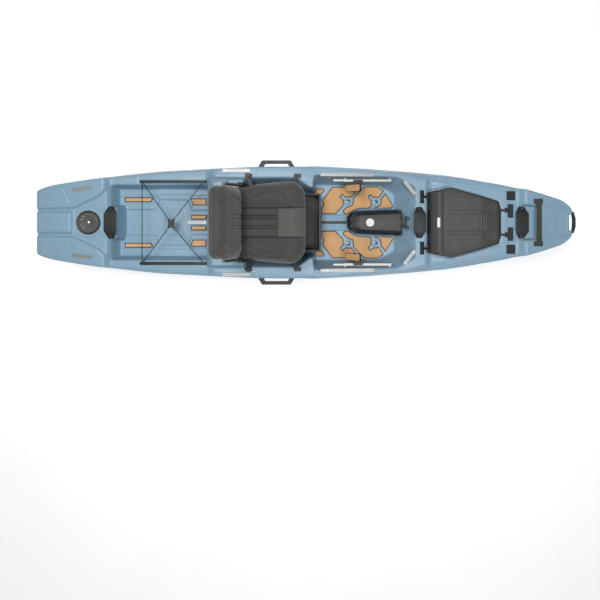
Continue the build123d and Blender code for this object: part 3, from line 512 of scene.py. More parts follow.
HULL = hull_material()
BLACK = moulded("black_nylon", srgb(34, 36, 37), rough=(0.38, 0.6))
DARK = moulded("dark_grey_plastic", srgb(80, 80, 76), rough=(0.42, 0.62), grain=1200.0, depth=0.0003)
LID = moulded("lid_plastic", srgb(70, 71, 68), rough=(0.45, 0.66), grain=1000.0, depth=0.0004)
# dark edge plastic of the lids; on the hatch lid's slot it is also painted shadow of the gap
LID_EDGE_AND_GAP_SHADOW = moulded("lid_edge_and_gap_shadow", srgb(40, 41, 40), rough=(0.42, 0.6))
RUBBER = moulded("black_rubber", srgb(38, 39, 39), rough=(0.6, 0.8), grain=1500.0, specular=0.3)
STRAP = moulded("strap_rubber", srgb(66, 68, 62), rough=(0.55, 0.75), grain=1500.0, specular=0.3)
RUDDER = moulded("rudder_plastic", srgb(84, 84, 80), rough=(0.4, 0.62), grain=800.0)
ALLOY = metal("satin_alloy", srgb(172, 176, 175), rough=(0.45, 0.6))
DARK_ALLOY = metal("dark_alloy", srgb(58, 60, 60), rough=(0.4, 0.55))
STEEL = metal("screw_steel", srgb(172, 174, 173), rough=(0.25, 0.4), stretch=(12, 12, 12))
BRASS = metal("insert_brass", srgb(206, 196, 168), rough=(0.3, 0.45), stretch=(12, 12, 12))
TAN = foam("tan_foam", srgb(208, 163, 116))
TAN_LIGHT = foam("tan_foam_tankwell", srgb(216, 172, 128))
PAD_EDGE = foam("pad_edge", srgb(40, 36, 34), depth=0.0002)
COVER = upholstery("seat_cover", srgb(70, 71, 67))
# painted shade: a near-black copy of the seat cover for the faces in the seam channels
PAINTED_SEAM_SHADE = upholstery("seat_seam_painted_shade", srgb(34, 35, 33))
COVER_LIGHT = upholstery("seat_cover_panel", srgb(88, 91, 86))
ORANGE = moulded("orange_vinyl", srgb(238, 152, 84), rough=(0.35, 0.5), spread=0.05)
INK = moulded("dark_vinyl", srgb(52, 54, 60), rough=(0.35, 0.5), spread=0.05)
WHITE = moulded("white_vinyl", srgb(224, 226, 224), rough=(0.35, 0.5), spread=0.04)


# ------------------------------------------------------------------ hull skins
def end_inset(xs):
    """How far the section draws in near the two ends, for rounded ends."""
    def turn(gap, radius):
        t = np.clip(gap, 0, radius)
        return radius - np.sqrt(np.maximum(radius ** 2 - (radius - t) ** 2, 0))
    return turn(xs - xs[0], 20.0) + turn(xs[-1] - xs, 6.0)


def hull_skins():
    near_stern = -1945 + 14 * (1 - np.cos(np.linspace(0, np.pi / 2, 6)[:-1]))
    near_bow = 1918 - 6 * (1 - np.cos(np.linspace(np.pi / 2, 0, 4)[1:]))
    xs = np.concatenate([near_stern, np.arange(-1931, 1912 + CELL, CELL), near_bow[near_bow > 1914.5]])
    for value in (-1440, -450, 400, 690, 880, 1884):
        xs[np.argmin(np.abs(xs - value))] = value
    mx, my, X, Y, A, Z = deck_heights()
    Z = deck_details(mx, my, X, Y, A, Z)
    inset = end_inset(xs)
    broad = line_of(BEAM, xs, 24.0) - inset
    broad_z = line_of(BEAM_Z, xs, 40.0)
    edge = broad - line_of(EDGE_INSET, xs, 60.0)
    keel = np.minimum(line_of(KEEL, xs, 16.0) + inset, broad_z - 4)
    chine = np.clip(line_of(CHINE, xs, 30.0) - inset, 6, broad - 8)
    chine_z = np.clip(line_of(CHINE_Z, xs, 22.0) + 0.5 * inset, keel + 1, broad_z - 2)

    # deck: rounded at the gunwale
    v = np.linspace(-1, 1, 205)
    PX = np.repeat(xs[:, None], len(v), 1)
    PY = edge[:, None] * v[None, :]
    notch = xs >= 1884
    for side in (1, -1):
        j = np.argmin(np.abs(PY[notch][0] - side * 58))
        PY[notch, j] = side * 58
    PZ = sample(Z, mx, my, PX, PY)
    off = np.clip(ROUND - (edge[:, None] - np.abs(PY)), 0, ROUND)
    PZ = PZ - (ROUND - np.sqrt(np.maximum(ROUND ** 2 - off ** 2, 0))) - inset[:, None]
    for x, y in SCUPPERS:
        snap(PX, PY, x, y, SCUPPER_R + 1)
    snap(PX, PY, RUDDER_X, 0, TURRET_R + 1)
    deck = np.stack([PX, PY, PZ], -1)

    # side and bottom: one section of fixed counts, corners turned
    counts = (26, 22, 16, 8)
    knots_y = np.stack([edge, broad, chine, chine * 0.25, chine * 0], 1)
    knots_z = np.stack([deck[:, -1, 2], broad_z, chine_z, keel, keel], 1)
    parts_y, parts_z = [], []
    for k, count in enumerate(counts):
        t = np.linspace(0, 1, count + 1)[: count if k < 3 else count + 1]
        parts_y.append(knots_y[:, k, None] * (1 - t) + knots_y[:, k + 1, None] * t)
        parts_z.append(knots_z[:, k, None] * (1 - t) + knots_z[:, k + 1, None] * t)
    SY, SZ = np.concatenate(parts_y, 1), np.concatenate(parts_z, 1)
    top = 2 * SZ[:, :1] - SZ[:, 8:0:-1], 2 * SY[:, :1] - SY[:, 8:0:-1]
    long_y = np.concatenate([top[1], SY, -SY[:, -2:-10:-1]], 1)
    long_z = np.concatenate([top[0], SZ, SZ[:, -2:-10:-1]], 1)
    SY = soften(long_y, 1.3, 1)[:, 8:-8]
    SZ = soften(long_z, 1.3, 1)[:, 8:-8]
    SY[:, -1] = 0
    SX = np.repeat(xs[:, None], SY.shape[1], 1)
    # bead along the widest line forward of the middle, and pockets behind the carry handles
    bead = smooth_step((SX - 5) / 30) * (1 - smooth_step((SX - 1150) / 300))
    SY = SY + bead * 3.5 * np.exp(-(((SZ - broad_z[:, None] - 6) / 9) ** 2)) * (SY > 60)
    SY = SY + 2.5 * np.exp(-(((SX - 12) / 9) ** 2)) * smooth_step((SZ - 222) / 20) \
        * (1 - smooth_step((SZ - 330) / 30)) * (SY > 60)
    plate = smooth_step(0.5 - distance([(-350, 303), (-350, 352), (-75, 352), (-75, 303)], SX, SZ) / 9)
    grip = smooth_step(0.5 - distance([(-292, 352), (-133, 352), (-160, 247), (-264, 247)], SX, SZ) / 12)
    SY = np.where(SY > 60, SY - plate * np.maximum(SY - 400.5, 0), SY)
    SY = np.where(SY > 60, SY - grip * np.maximum(SY - 386.5, 0), SY)
    underside = SZ < broad_z[:, None] - 20
    snap(SX, SY, RUDDER_X, 0, TURRET_R + 1, underside)
    for x, y in SCUPPERS[::2]:
        snap(SX, SY, x, y, SCUPPER_R + 1, underside)
    inside = (xs >= 400) & (xs <= 690)
    for i in np.nonzero(inside)[0]:
        j = np.argmin(np.where(SZ[i] < 100, np.abs(SY[i] - 60), 1e9))
        SY[i, j] = 60
    for i in np.nonzero(notch)[0]:
        j = np.argmin(np.where(SZ[i] < broad_z[i] - 3, np.abs(SY[i] - 58), 1e9))
        SY[i, j] = 58
    port = np.stack([SX, SY, SZ], -1)
    star = port * (1, -1, 1)

    deck_n, port_n = grid_normals(deck), -grid_normals(port)
    edge_n = deck_n[:, -1] + port_n[:, 0]
    edge_n /= np.linalg.norm(edge_n, axis=1, keepdims=True)
    deck_n[:, -1] = port_n[:, 0] = edge_n
    deck_n[:, 0] = edge_n * (1, -1, 1)
    port_n[:, -1, 1] = 0
    star_n = port_n * (1, -1, 1)

    # faces that are kept
    cx, cy = middle(deck[..., 0]), middle(deck[..., 1])
    keep = ~((cx > 1884) & (np.abs(cy) < 58))
    for x, y in SCUPPERS:
        keep &= np.hypot(cx - x, cy - y) > SCUPPER_R
    keep &= np.hypot(cx - RUDDER_X, cy) > TURRET_R
    spans = [("stern", -2000, -1440), ("tankwell", -1440, -450), ("cockpit", -450, 400),
             ("footwell", 400, 880), ("bow", 880, 2000)]
    made = []
    for name, low, high in spans:
        made.append(grid_piece("deck_skin_" + name, deck, deck_n, keep & (cx > low) & (cx < high), HULL))
    cx, cy, cz = (middle(port[..., k]) for k in range(3))
    under = cz < middle(np.repeat(broad_z[:, None], port.shape[1], 1)) - 3
    keep = ~((cx > 1884) & (cy < 58) & under)
    keep &= ~((np.hypot(cx - RUDDER_X, cy) < TURRET_R) & under)
    keep &= ~((cx > 400) & (cx < 690) & (cy < 60) & under)
    for x, y in SCUPPERS[::2]:
        keep &= ~((np.hypot(cx - x, cy - y) < SCUPPER_R) & under)
    made.append(grid_piece("hull_skin_port", port[:, ::-1], port_n[:, ::-1], keep[:, ::-1], HULL))
    made.append(grid_piece("hull_skin_starboard", star, star_n, keep, HULL))
    made.append(hull_ends(deck, port))
    made.append(openings())
    return made, xs, port


def middle(field):
    return (field[:-1, :-1] + field[1:, :-1] + field[1:, 1:] + field[:-1, 1:]) / 4


def snap(PX, PY, x, y, radius, mask=None):
    """Moves the grid points nearest a circle onto it."""
    away = np.hypot(PX - x, PY - y)
    near = np.abs(away - radius) < 2.4
    if mask is not None:
        near &= mask
    scale = radius / np.maximum(away, 1e-6)
    moved_x, moved_y = x + (PX - x) * scale, y + (PY - y) * scale
    PX[near], PY[near] = moved_x[near], moved_y[near]


def hull_ends(deck, port):
    """Transom and bow faces."""
    verts, faces = [], []
    for i in (0, -1):
        rim = [p for p in deck[i][::4]] + [p for p in port[i][1::2]]
        rim += [p * (1, -1, 1) for p in port[i][1:-1:2][::-1]]
        if i == -1:
            rim = [p for p in rim if abs(p[1]) > 58 or p[2] < 0]
            for side in (1, -1):
                part = [p for p in rim if p[1] * side > 0]
                inner = [np.array([deck[i][0][0], side * 58, z]) for z in
                         (min(p[2] for p in part), max(p[2] for p in part))]
                part.sort(key=lambda p: math.atan2(p[2] - 366, abs(p[1]) - 70))
                ring = part + [np.array([part[-1][0], side * 58, inner[1][2] - 2]),
                               np.array([part[-1][0], side * 58, inner[0][2] + 2])]
                base = len(verts)
                verts += ring
                faces.append(list(range(base, base + len(ring))))
            continue
        base = len(verts)
        centre = np.mean(rim, axis=0)
        verts += rim + [centre]
        faces += [[base + k, base + (k + 1) % len(rim), base + len(rim)] for k in range(len(rim))]
    return mesh_piece("hull_end_faces", rows(verts).tolist(), faces, HULL)


def openings():
    """Linings of the scuppers, the bow opening, the drive opening and the rudder trunk."""
    bm = bmesh.new()

    def wall(loop, low, high, closed=True):
        count = len(loop)
        ring = [[bm.verts.new(row(x, y, z)) for x, y in loop] for z in (low, high)]
        for k in range(count if closed else count - 1):
            n = (k + 1) % count
            bm.faces.new((ring[0][k], ring[0][n], ring[1][n], ring[1][k]))

    def circle(x, y, radius, count):
        return [(x + radius * math.cos(2 * math.pi * k / count),
                 y + radius * math.sin(2 * math.pi * k / count)) for k in range(count)]

    for x, y in SCUPPERS:
        profile = [(24, FLOOR_Z - 0.6), (20.5, FLOOR_Z + 1.4), (17.5, FLOOR_Z + 1.2), (15.8, FLOOR_Z - 1.5),
                   (15.4, 70), (15.6, 24), (17, 16), (20, 13)]
        loops = [[bm.verts.new(row(px, py, z)) for px, py in circle(x, y, r, 40)] for r, z in profile]
        for a, b in zip(loops, loops[1:]):
            for k in range(40):
                bm.faces.new((a[k], a[(k + 1) % 40], b[(k + 1) % 40], b[k]))
    wall([(1918, 58), (1890, 58), (1885, 54), (1884, 48), (1884, -48), (1885, -54), (1890, -58),
          (1918, -58)], 339, 402, closed=False)
    wall([(400, 60), (690, 60), (690, -60), (400, -60)], 4, 72)
    wall(circle(RUDDER_X, 0, TURRET_R + 1.1, 96), 101, 362)
    return from_bmesh("hull_openings", bm, HULL)


hull_pieces, hull_xs, hull_port = hull_skins()
for piece in hull_pieces:
    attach(piece, "hull")
    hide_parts("deck_aft", "deck_middle", "deck_footwell", "deck_forward", "hull_lower",
                "rudder_trunk")


# ------------------------------------------------------------------ finish of the CAD parts
def dress(node, material, bevel=1.2, angle=32.0):
    """Material and softened edges for a CAD part that stays in view."""
    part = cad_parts[node]
    part.data.materials.clear()
    part.data.materials.append(material)
    for polygon in part.data.polygons:
        polygon.material_index = 0
    weld = part.modifiers.new("weld", "WELD")
    weld.merge_threshold = 0.00004
    if bevel:
        round_off = part.modifiers.new("round", "BEVEL")
        round_off.width = bevel / 1000
        round_off.segments = 2
        round_off.limit_method = "ANGLE"
        round_off.angle_limit = math.radians(angle)
        round_off.use_clamp_overlap = True
    even = part.modifiers.new("even", "WEIGHTED_NORMAL")
    even.keep_sharp = False


FINISH = {
    "tracks_port": (ALLOY, 0.6), "tracks_starboard": (ALLOY, 0.6), "track_tankwell": (ALLOY, 0.6),
    "track_screws": (STEEL, 0.4), "bungee_rails": (BLACK, 2.0), "bungee_hub": (BLACK, 2.0),
    "floor_pads": (PAD_EDGE, 0.8), "tankwell_pads": (PAD_EDGE, 0.8),
    "grab_handle_stern": (BLACK, 2.5), "grab_handle_riser": (BLACK, 2.5),
    "grab_handle_midships": (BLACK, 2.5), "grab_handle_bow": (BLACK, 2.5),
    "carry_handle_port": (BLACK, 2.5), "carry_handle_starboard": (BLACK, 2.5),
    "paddle_keepers": (RUBBER, 0.8), "bow_handle": (BLACK, 2.5), "bow_strap": (STRAP, 1.0),
    "rod_tip_cups": (BLACK, 3.0), "threaded_inserts": (BRASS, 0.4), "skid_plate": (BLACK, 1.5),
    "hatch_gasket": (RUBBER, 1.0), "hatch_coaming": (BLACK, 0.8), "hatch_lid": (LID_EDGE_AND_GAP_SHADOW, 4.0),
    "hatch_hinges": (BLACK, 2.0), "hatch_latch_port": (RUBBER, 2.0), "hatch_latch_starboard": (RUBBER, 2.0),
    "pod_tub": (BLACK, 2.0), "pod_lid": (LID_EDGE_AND_GAP_SHADOW, 3.0), "pod_hinge": (BLACK, 1.5), "pod_latch": (RUBBER, 1.2),
    "console_track": (DARK_ALLOY, 0.6), "console_slider": (BLACK, 1.2), "seat_drawer": (BLACK, 2.0),
    "drawer_frame": (BLACK, 2.0), "foot_rail_port": (ALLOY, 1.2), "foot_rail_starboard": (ALLOY, 1.2),
    "foot_carriage_port": (BLACK, 2.0), "foot_carriage_starboard": (BLACK, 2.0),
    "toe_pedal_port": (BLACK, 1.5), "toe_pedal_starboard": (BLACK, 1.5),
    "seat_frame": (DARK_ALLOY, 1.5), "frame_knobs": (BLACK, 2.0), "seat_slide": (BLACK, 2.0),
    "swivel_top": (BLACK, 2.0), "seat_pan": (BLACK, 1.5), "backrest_shell": (DARK, 6.0),
    "rudder_turret": (RUDDER, 1.5), "rudder_blade": (RUDDER, 2.0),
}
for node, (material, bevel) in FINISH.items():
    dress(node, material, bevel)


# ------------------------------------------------------------------ bungee cords
HUB = (-979.0, -8.0)
CORD_R = 3.0
CORD_Z = 346.0


def bungee_cord(name, start, end):
    """Taut elastic cord between two fittings, with the least sag."""
    start, end = Vector(start), Vector(end)
    middle_point = (start + end) / 2 - Vector((0, 0, 0.8))
    points = [start, start.lerp(middle_point, 0.5), middle_point, end.lerp(middle_point, 0.5), end]
    curve = bpy.data.curves.new(name, "CURVE")
    curve.dimensions = "3D"
    curve.resolution_u = 8
    curve.bevel_depth = CORD_R / 1000
    curve.bevel_resolution = 4
    curve.use_fill_caps = True
    spline = curve.splines.new("NURBS")
    spline.points.add(len(points) - 1)
    for point, place in zip(spline.points, points):
        point.co = (*row(*place), 1)
    spline.order_u = 3
    spline.use_endpoint_u = True
    piece = link(name, curve)
    curve.materials.append(RUBBER)
    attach(piece, "hull")
    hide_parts("bungee_cords")


bungee_cord("bungee_cross_run", (-1190, -286.4, CORD_Z), (-1190, 286.4, CORD_Z))
for x, name in ((-1180, "aft"), (-752, "forward")):
    for side, end in SIDES:
        outer = Vector((x, side * 284, CORD_Z))
        lobe = Vector((HUB[0] + math.copysign(15, x - HUB[0]), HUB[1] + 25 * side, CORD_Z))
        inner = lobe + (outer - lobe).normalized() * 10.5
        bungee_cord("bungee_%s_%s" % (name, end), outer, inner)


# ------------------------------------------------------------------ pads
def shrunk(corners, by):
    """Level outline, counter-clockwise, drawn in by a width along every edge."""
    made = []
    for k, here in enumerate(corners):
        ahead = (corners[(k + 1) % len(corners)] - here).normalized()
        behind = (here - corners[k - 1]).normalized()
        first, second = Vector((-behind.y, behind.x, 0)), Vector((-ahead.y, ahead.x, 0))
        made.append(here + (first + second) * by / max(0.35, 1 + first.dot(second)))
    return made


def pad_tops(node, material, lift=0.0008, inset=0.006):
    """Tan faces of the two-layer pads, set in from the dark layer below."""
    bm = bmesh.new()
    bm.from_mesh(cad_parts[node].data)
    bm.transform(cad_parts[node].matrix_world)
    bmesh.ops.remove_doubles(bm, verts=bm.verts, dist=0.00005)
    bm.normal_update()
    lower = [face for face in bm.faces if face.normal.z < 0.99]
    bmesh.ops.delete(bm, geom=lower, context="FACES")
    bmesh.ops.dissolve_limit(bm, angle_limit=0.02, verts=bm.verts, edges=bm.edges)
    for face in bm.faces[:]:
        corners = [vert.co.copy() for vert in face.verts]
        for vert, place in zip(face.verts, shrunk(corners, inset)):
            vert.co = place
    grown = bmesh.ops.extrude_face_region(bm, geom=bm.faces[:])
    top = [item for item in grown["geom"] if isinstance(item, bmesh.types.BMVert)]
    bmesh.ops.translate(bm, verts=top, vec=(0, 0, lift))
    bmesh.ops.triangulate(bm, faces=[face for face in bm.faces if len(face.verts) > 4])
    piece = from_bmesh(node + "_tops", bm, material, smooth=False)
    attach(piece, "hull")


pad_tops("floor_pads", TAN)
pad_tops("tankwell_pads", TAN_LIGHT)


# ------------------------------------------------------------------ small turned and flat pieces
def turned(name, centre, profile, material, body, count=32, axis="z"):
    """Turned piece: profile of (radius, height) pairs in mm round an axis through centre."""
    bm = bmesh.new()
    rings = []
    for radius, height in profile:
        ring = []
        for k in range(count):
            turn = 2 * math.pi * k / count
            u, v = radius * math.cos(turn), radius * math.sin(turn)
            local = {"z": (u, v, height), "y": (u, height, v), "x": (height, u, v)}[axis]
            ring.append(bm.verts.new(row(*(a + b for a, b in zip(centre, local)))))
        rings.append(ring)
    for a, b in zip(rings, rings[1:]):
        for k in range(count):
            bm.faces.new((a[k], a[(k + 1) % count], b[(k + 1) % count], b[k]))
    bm.faces.new(rings[0][::-1])
    bm.faces.new(rings[-1])
    piece = from_bmesh(name, bm, material)
    piece.data.set_sharp_from_angle(angle=math.radians(40))
    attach(piece, body)
    return piece


def screw(name, centre, radius, material=STEEL, body="hull", axis="z", out=1):
    """Domed screw head with a round socket."""
    profile = [(radius, 0), (radius, 0.8), (radius * 0.8, 1.8), (radius * 0.45, 2.1), (radius * 0.4, 0.9),
               (radius * 0.1, 0.8)]
    return turned(name, centre, [(r, out * h) for r, h in profile], material, body, 20, axis)


def plate(name, outline, low, high, material, body, slot, chamfer=1.0):
    """Flat piece of a plan outline with a chamfered top edge; low and high are heights in mm."""
    bm = bmesh.new()
    face = bm.faces.new([bm.verts.new(row(x, y, low)) for x, y in outline])
    if face.normal.z < 0:
        face.normal_flip()
    grown = bmesh.ops.extrude_face_region(bm, geom=[face])
    top = [item for item in grown["geom"] if isinstance(item, bmesh.types.BMVert)]
    bmesh.ops.translate(bm, verts=top, vec=(0, 0, (high - low) / 1000))
    edges = [edge for edge in bm.edges if all(vert in top for vert in edge.verts)]
    bmesh.ops.bevel(bm, geom=edges, offset=chamfer / 1000, segments=2, affect="EDGES", profile=0.5)
    bmesh.ops.triangulate(bm, faces=[face for face in bm.faces if len(face.verts) > 4])
    piece = from_bmesh(name, bm, material)
    piece.data.set_sharp_from_angle(angle=math.radians(30))
    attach(piece, body)
    return piece


def rounded(points, radius, steps=4):
    """Closed outline with turned corners."""
    made = []
    for k, point in enumerate(points):
        here = Vector(point)
        before = (Vector(points[k - 1]) - here)
        after = (Vector(points[(k + 1) % len(points)]) - here)
        reach = min(radius, before.length * 0.45, after.length * 0.45)
        a, b = here + before.normalized() * reach, here + after.normalized() * reach
        for n in range(steps + 1):
            t = n / steps
            made.append(tuple(a * (1 - t) ** 2 + here * 2 * t * (1 - t) + b * t ** 2))
    return made


# ------------------------------------------------------------------ hatch lid
LID_OUTLINE = [(893, 220), (1028, 249), (1376, 150), (1396, 92)]
LID_CROWN = [(893, 402), (903, 411), (934, 441), (1240, 445), (1358, 424), (1396, 406)]


def hatch_skin():
    """Moulded top of the bow hatch lid: aft band, raised panel, ridges, cross ribs and facets."""
    xs = np.linspace(892.5, 1396.5, 169)
    v = np.linspace(-1, 1, 165)
    half = table(LID_OUTLINE, xs) + 0.6
    X = np.repeat(xs[:, None], len(v), 1)
    Y = half[:, None] * v[None, :]
    A = np.abs(Y)
    Z = np.repeat(line_of(LID_CROWN, xs, 5.0)[:, None], len(v), 1) + 1.2
    outline = both_sides(LID_OUTLINE)
    gap = -distance(outline, X, Y)
    off = np.clip(18 - np.maximum(gap, 0), 0, 18)
    Z = Z - (18 - np.sqrt(18 ** 2 - off ** 2))
    inner = both_sides([(977, 214), (1030, 224), (1352, 132), (1366, 92)])
    Z = Z + 3.0 * smooth_step(0.5 - distance(inner, X, Y) / 7)
    Z = Z - 6.0 * smooth_step(0.5 - (np.abs(X - 968) - 6) / 3) * smooth_step((gap - 2) / 8)
    ridge = [(995, 60), (995, 85), (1228, 85), (1241, 74), (1241, 60)]
    Z = Z + 4.0 * smooth_step(0.5 - distance(ridge, X, A) / 5)
    Z = groove(Z, X, Y, [(1241, 60), (1356, 60)], 2.6, -2.6)
    for x in np.linspace(1203, 1279, 5):
        Z = Z + 3.0 * smooth_step(0.5 - (np.abs(X - x) - 3) / 3) * smooth_step((56 - A) / 4)
    facet = [(1262, 74), (1330, 66), (1352, 104), (1318, 128), (1246, 112)]
    Z = Z - 3.5 * smooth_step(0.5 - distance(facet, X, A) / 12)
    Z = groove(Z, X, Y, [(985, 196), (1030, 206), (1240, 146)], 3.0, 2.4)
    base = table(SHEER, xs)[:, None] + 4.5
    wall = np.repeat(base, len(v), 1)
    Z = np.maximum(Z, wall)

    def framed(field, ends):
        """The field with one more row and column on every side."""
        long = np.concatenate([ends[:1], field, ends[-1:]], 0)
        return np.concatenate([long[:, :1], long, long[:, -1:]], 1)
    PX, PY, PZ = framed(X, X), framed(Y, Y), framed(Z, wall)
    PZ[:, 0] = PZ[:, -1] = np.concatenate([base[:1, 0], base[:, 0], base[-1:, 0]])
    P = np.stack([PX, PY, PZ], -1)
    keep = np.ones((P.shape[0] - 1, P.shape[1] - 1), bool)
    piece = grid_piece("hatch_lid_skin", P, grid_normals(P), keep, LID)
    piece.data.materials.append(LID_EDGE_AND_GAP_SHADOW)
    # Dark lid edge colour on the skirt below 398 mm; on the slot at x 962 to 974 it is painted shadow of the
    # gap between the aft band and the raised panel.
    for polygon in piece.data.polygons:
        x = polygon.center.x * 1000
        if 962 < x < 974 or polygon.center.z * 1000 - KEEL_Z < 398:
            polygon.material_index = 1
    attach(piece, "hatch_lid")


hatch_skin()
plate("hatch_label", rounded([(930, -34), (950, -34), (950, 34), (930, 34)], 4), 441.0, 442.6, WHITE,
      "hatch_lid", "hull_plastic", 0.3)
for side, name in SIDES:
    for k in range(5):
        x, y = 851 + 4.2 * k, side * 189
        plate("latch_rib_%d_%s" % (k, name), [(x, y - 40), (x + 2, y - 40), (x + 2, y + 40), (x, y + 40)],
              315.5, 317.4, RUBBER, "hatch_latch_" + name, "rubber", 0.5)

# ------------------------------------------------------------------ console pod lid
plate("pod_panel", rounded([(404, -50), (704, -62), (704, 62), (404, 50)], 9), 286.5, 288.6, LID,
      "pod_lid", "grey_plastic", 1.0)
turned("pod_emblem", (480, 0, 288.4),
       [(30, 0), (30, 0.9), (28, 1.4), (24, 1.4), (22.5, 0.9), (4, 0.9)], WHITE, "pod_lid",
       48)

# ------------------------------------------------------------------ rudder turret
turned("turret_rim", (RUDDER_X, 0, 369.2),
       [(86, 0), (86, 1.8), (84, 2.8), (78, 2.8), (76, 1.2), (60, 0.9)], BLACK, "rudder_turret",
       72)
turned("turret_face", (RUDDER_X, 0, 369.6), [(74, 0), (74, 1.6), (72, 2.2), (40, 2.2), (36, 1.0), (20, 1.0)],
       RUDDER, "rudder_turret", 72)
for k, angle in enumerate((130, 157, 203, 230)):
    place = (RUDDER_X + 56 * math.cos(math.radians(angle)), 56 * math.sin(math.radians(angle)), 371.5)
    screw("turret_screw_%d" % k, place, 6.0, body="rudder_turret")
turned("turret_knob", (RUDDER_X, 0, 376.0), [(14, 0), (14, 1.5), (11, 3), (4, 3.4)], STEEL,
       "rudder_turret")

# ------------------------------------------------------------------ screws
HANDLES = [("stern", -1408, 362), ("riser", -500, 424), ("midships", 840, 301), ("bow", 1547, 391)]
for handle, x, z in HANDLES:
    for side, name in SIDES:
        screw("handle_screw_%s_%s" % (handle, name), (x, side * 99, z + 9.5), 4.5)
for n, (x, y, z) in enumerate([(-1893, 218, 380), (-1746, 234, 382), (-1914, 104, 379), (-1692, 132, 383),
                               (1788, 35, 408)]):
    for side, name in SIDES:
        screw("deck_screw_%d_%s" % (n, name), (x, side * y, z), 4.5)
for side, name in SIDES:
    screw("strap_screw_" + name, (1650, side * 150, 424), 7.0)
    screw("seat_pivot_" + name, (-443, side * 274, 593), 8.0, WHITE, "backrest", "y", side)


# ------------------------------------------------------------------ side marks
def side_breadth(x, z):
    """Half-breadth of the hull's side at a place along the boat and a height."""
    i = int(np.argmin(np.abs(hull_xs - x)))
    line = hull_port[i, :48]
    order = np.argsort(line[:, 2])
    return float(np.interp(z, line[order, 2], line[order, 1]))


def side_mark(name, x0, x1, z0, z1, material, slant=0.0):
    """Plain vinyl bar laid on both sides of the hull; slant leans its ends."""
    for side, end in SIDES:
        nx, nz = max(2, int((x1 - x0) / 12)), 6
        verts = []
        for i in range(nx + 1):
            for k in range(nz + 1):
                z = z0 + (z1 - z0) * k / nz
                x = x0 + (x1 - x0) * i / nx + slant * (k / nz - 0.5)
                verts.append(row(x, side * (side_breadth(x, z) + 0.7), z))
        faces = [(i * (nz + 1) + k, (i + 1) * (nz + 1) + k, (i + 1) * (nz + 1) + k + 1, i * (nz + 1) + k + 1)
                 for i in range(nx) for k in range(nz)]
        piece = mesh_piece(name + "_" + end, verts, faces, material)
        thick = piece.modifiers.new("thick", "SOLIDIFY")
        thick.thickness = 0.0006
        thick.offset = -side
        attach(piece, "hull")


side_mark("mark_orange", -626, -486, 288, 324, ORANGE, 14)
side_mark("mark_dark", -472, -356, 288, 324, INK, 14)
for n in range(4):
    side_mark("mark_bow_%d" % n, 1184 + 98 * n, 1262 + 98 * n, 308, 330, INK, 8)


# ------------------------------------------------------------------ seat
def soft_block(name, stations, power=5.0, count=96):
    """Closed body through oval stations; each is (centre, half-width, half-height, axis point)."""
    bm = bmesh.new()
    rings = []
    for centre, half, tall, up in stations:
        ring = []
        for k in range(count):
            turn = 2 * math.pi * k / count
            c, q = math.cos(turn), math.sin(turn)
            u = half * math.copysign(abs(c) ** (2 / power), c)
            w = tall * math.copysign(abs(q) ** (2 / power), q)
            ring.append(bm.verts.new(row(centre[0] + up[0] * w, u, centre[1] + up[1] * w)))
        rings.append(ring)
    for a, b in zip(rings, rings[1:]):
        for k in range(count):
            bm.faces.new((a[k], a[(k + 1) % count], b[(k + 1) % count], b[k]))
    bm.faces.new(rings[0][::-1])
    bm.faces.new(rings[-1])
    return from_bmesh(name, bm, COVER)


def apply_modifiers(piece):
    bpy.context.view_layer.update()
    depsgraph = bpy.context.evaluated_depsgraph_get()
    mesh = bpy.data.meshes.new_from_object(piece.evaluated_get(depsgraph))
    piece.modifiers.clear()
    piece.data = mesh


def coordinates(mesh):
    values = np.empty(len(mesh.vertices) * 3)
    mesh.vertices.foreach_get("co", values)
    return values.reshape(-1, 3)


def set_coordinates(mesh, values):
    mesh.vertices.foreach_set("co", values.ravel())
    mesh.update()


def stuff(piece, voxel, pressure, cap, pinned):
    """Blows a sewn cover up over its foam by cloth simulation, then keeps the settled shape."""
    remesh = piece.modifiers.new("remesh", "REMESH")
    remesh.mode = "VOXEL"
    remesh.voxel_size = voxel
    apply_modifiers(piece)
    start = coordinates(piece.data)
    group = piece.vertex_groups.new(name="held")
    held = [i for i, place in enumerate(start) if pinned(place * 1000 - (0, 0, KEEL_Z))]
    group.add([int(i) for i in held], 1.0, "REPLACE")
    cloth = piece.modifiers.new("cloth", "CLOTH")
    cloth.settings.quality = 4
    cloth.settings.mass = 0.4
    cloth.settings.tension_stiffness = 12
    cloth.settings.compression_stiffness = 12
    cloth.settings.bending_stiffness = 0.6
    cloth.settings.use_pressure = True
    cloth.settings.uniform_pressure_force = pressure
    cloth.settings.vertex_group_mass = "held"
    cloth.settings.effector_weights.gravity = 0
    cloth.collision_settings.use_collision = False
    scene = bpy.context.scene
    cloth.point_cache.frame_start = 1
    cloth.point_cache.frame_end = 20
    for step in range(1, 21):
        scene.frame_set(step)
    apply_modifiers(piece)
    scene.frame_set(1)
    moved = coordinates(piece.data) - start
    size = np.linalg.norm(moved, axis=1, keepdims=True)
    set_coordinates(piece.data, start + moved * np.minimum(1, cap / np.maximum(size, 1e-9)))
    smoothing = piece.modifiers.new("ease", "SMOOTH")
    smoothing.factor = 0.5
    smoothing.iterations = 6
    finer = piece.modifiers.new("finer", "SUBSURF")
    finer.levels = finer.render_levels = 1
    apply_modifiers(piece)
    piece.data.shade_smooth()
    return piece


def press(piece, shape, facing):
    """Seams, channels and panels: moves the cover along its normals by shape(points), in mm."""
    mesh = piece.data
    places = coordinates(mesh)
    normals = np.empty(len(mesh.vertices) * 3)
    mesh.vertices.foreach_get("normal", normals)
    normals = normals.reshape(-1, 3)
    points = places * 1000 - (0, 0, KEEL_Z)
    weight = np.clip((normals @ np.array(facing) - 0.15) / 0.35, 0, 1)
    set_coordinates(mesh, places + normals * (shape(points, normals) * weight)[:, None] / 1000)


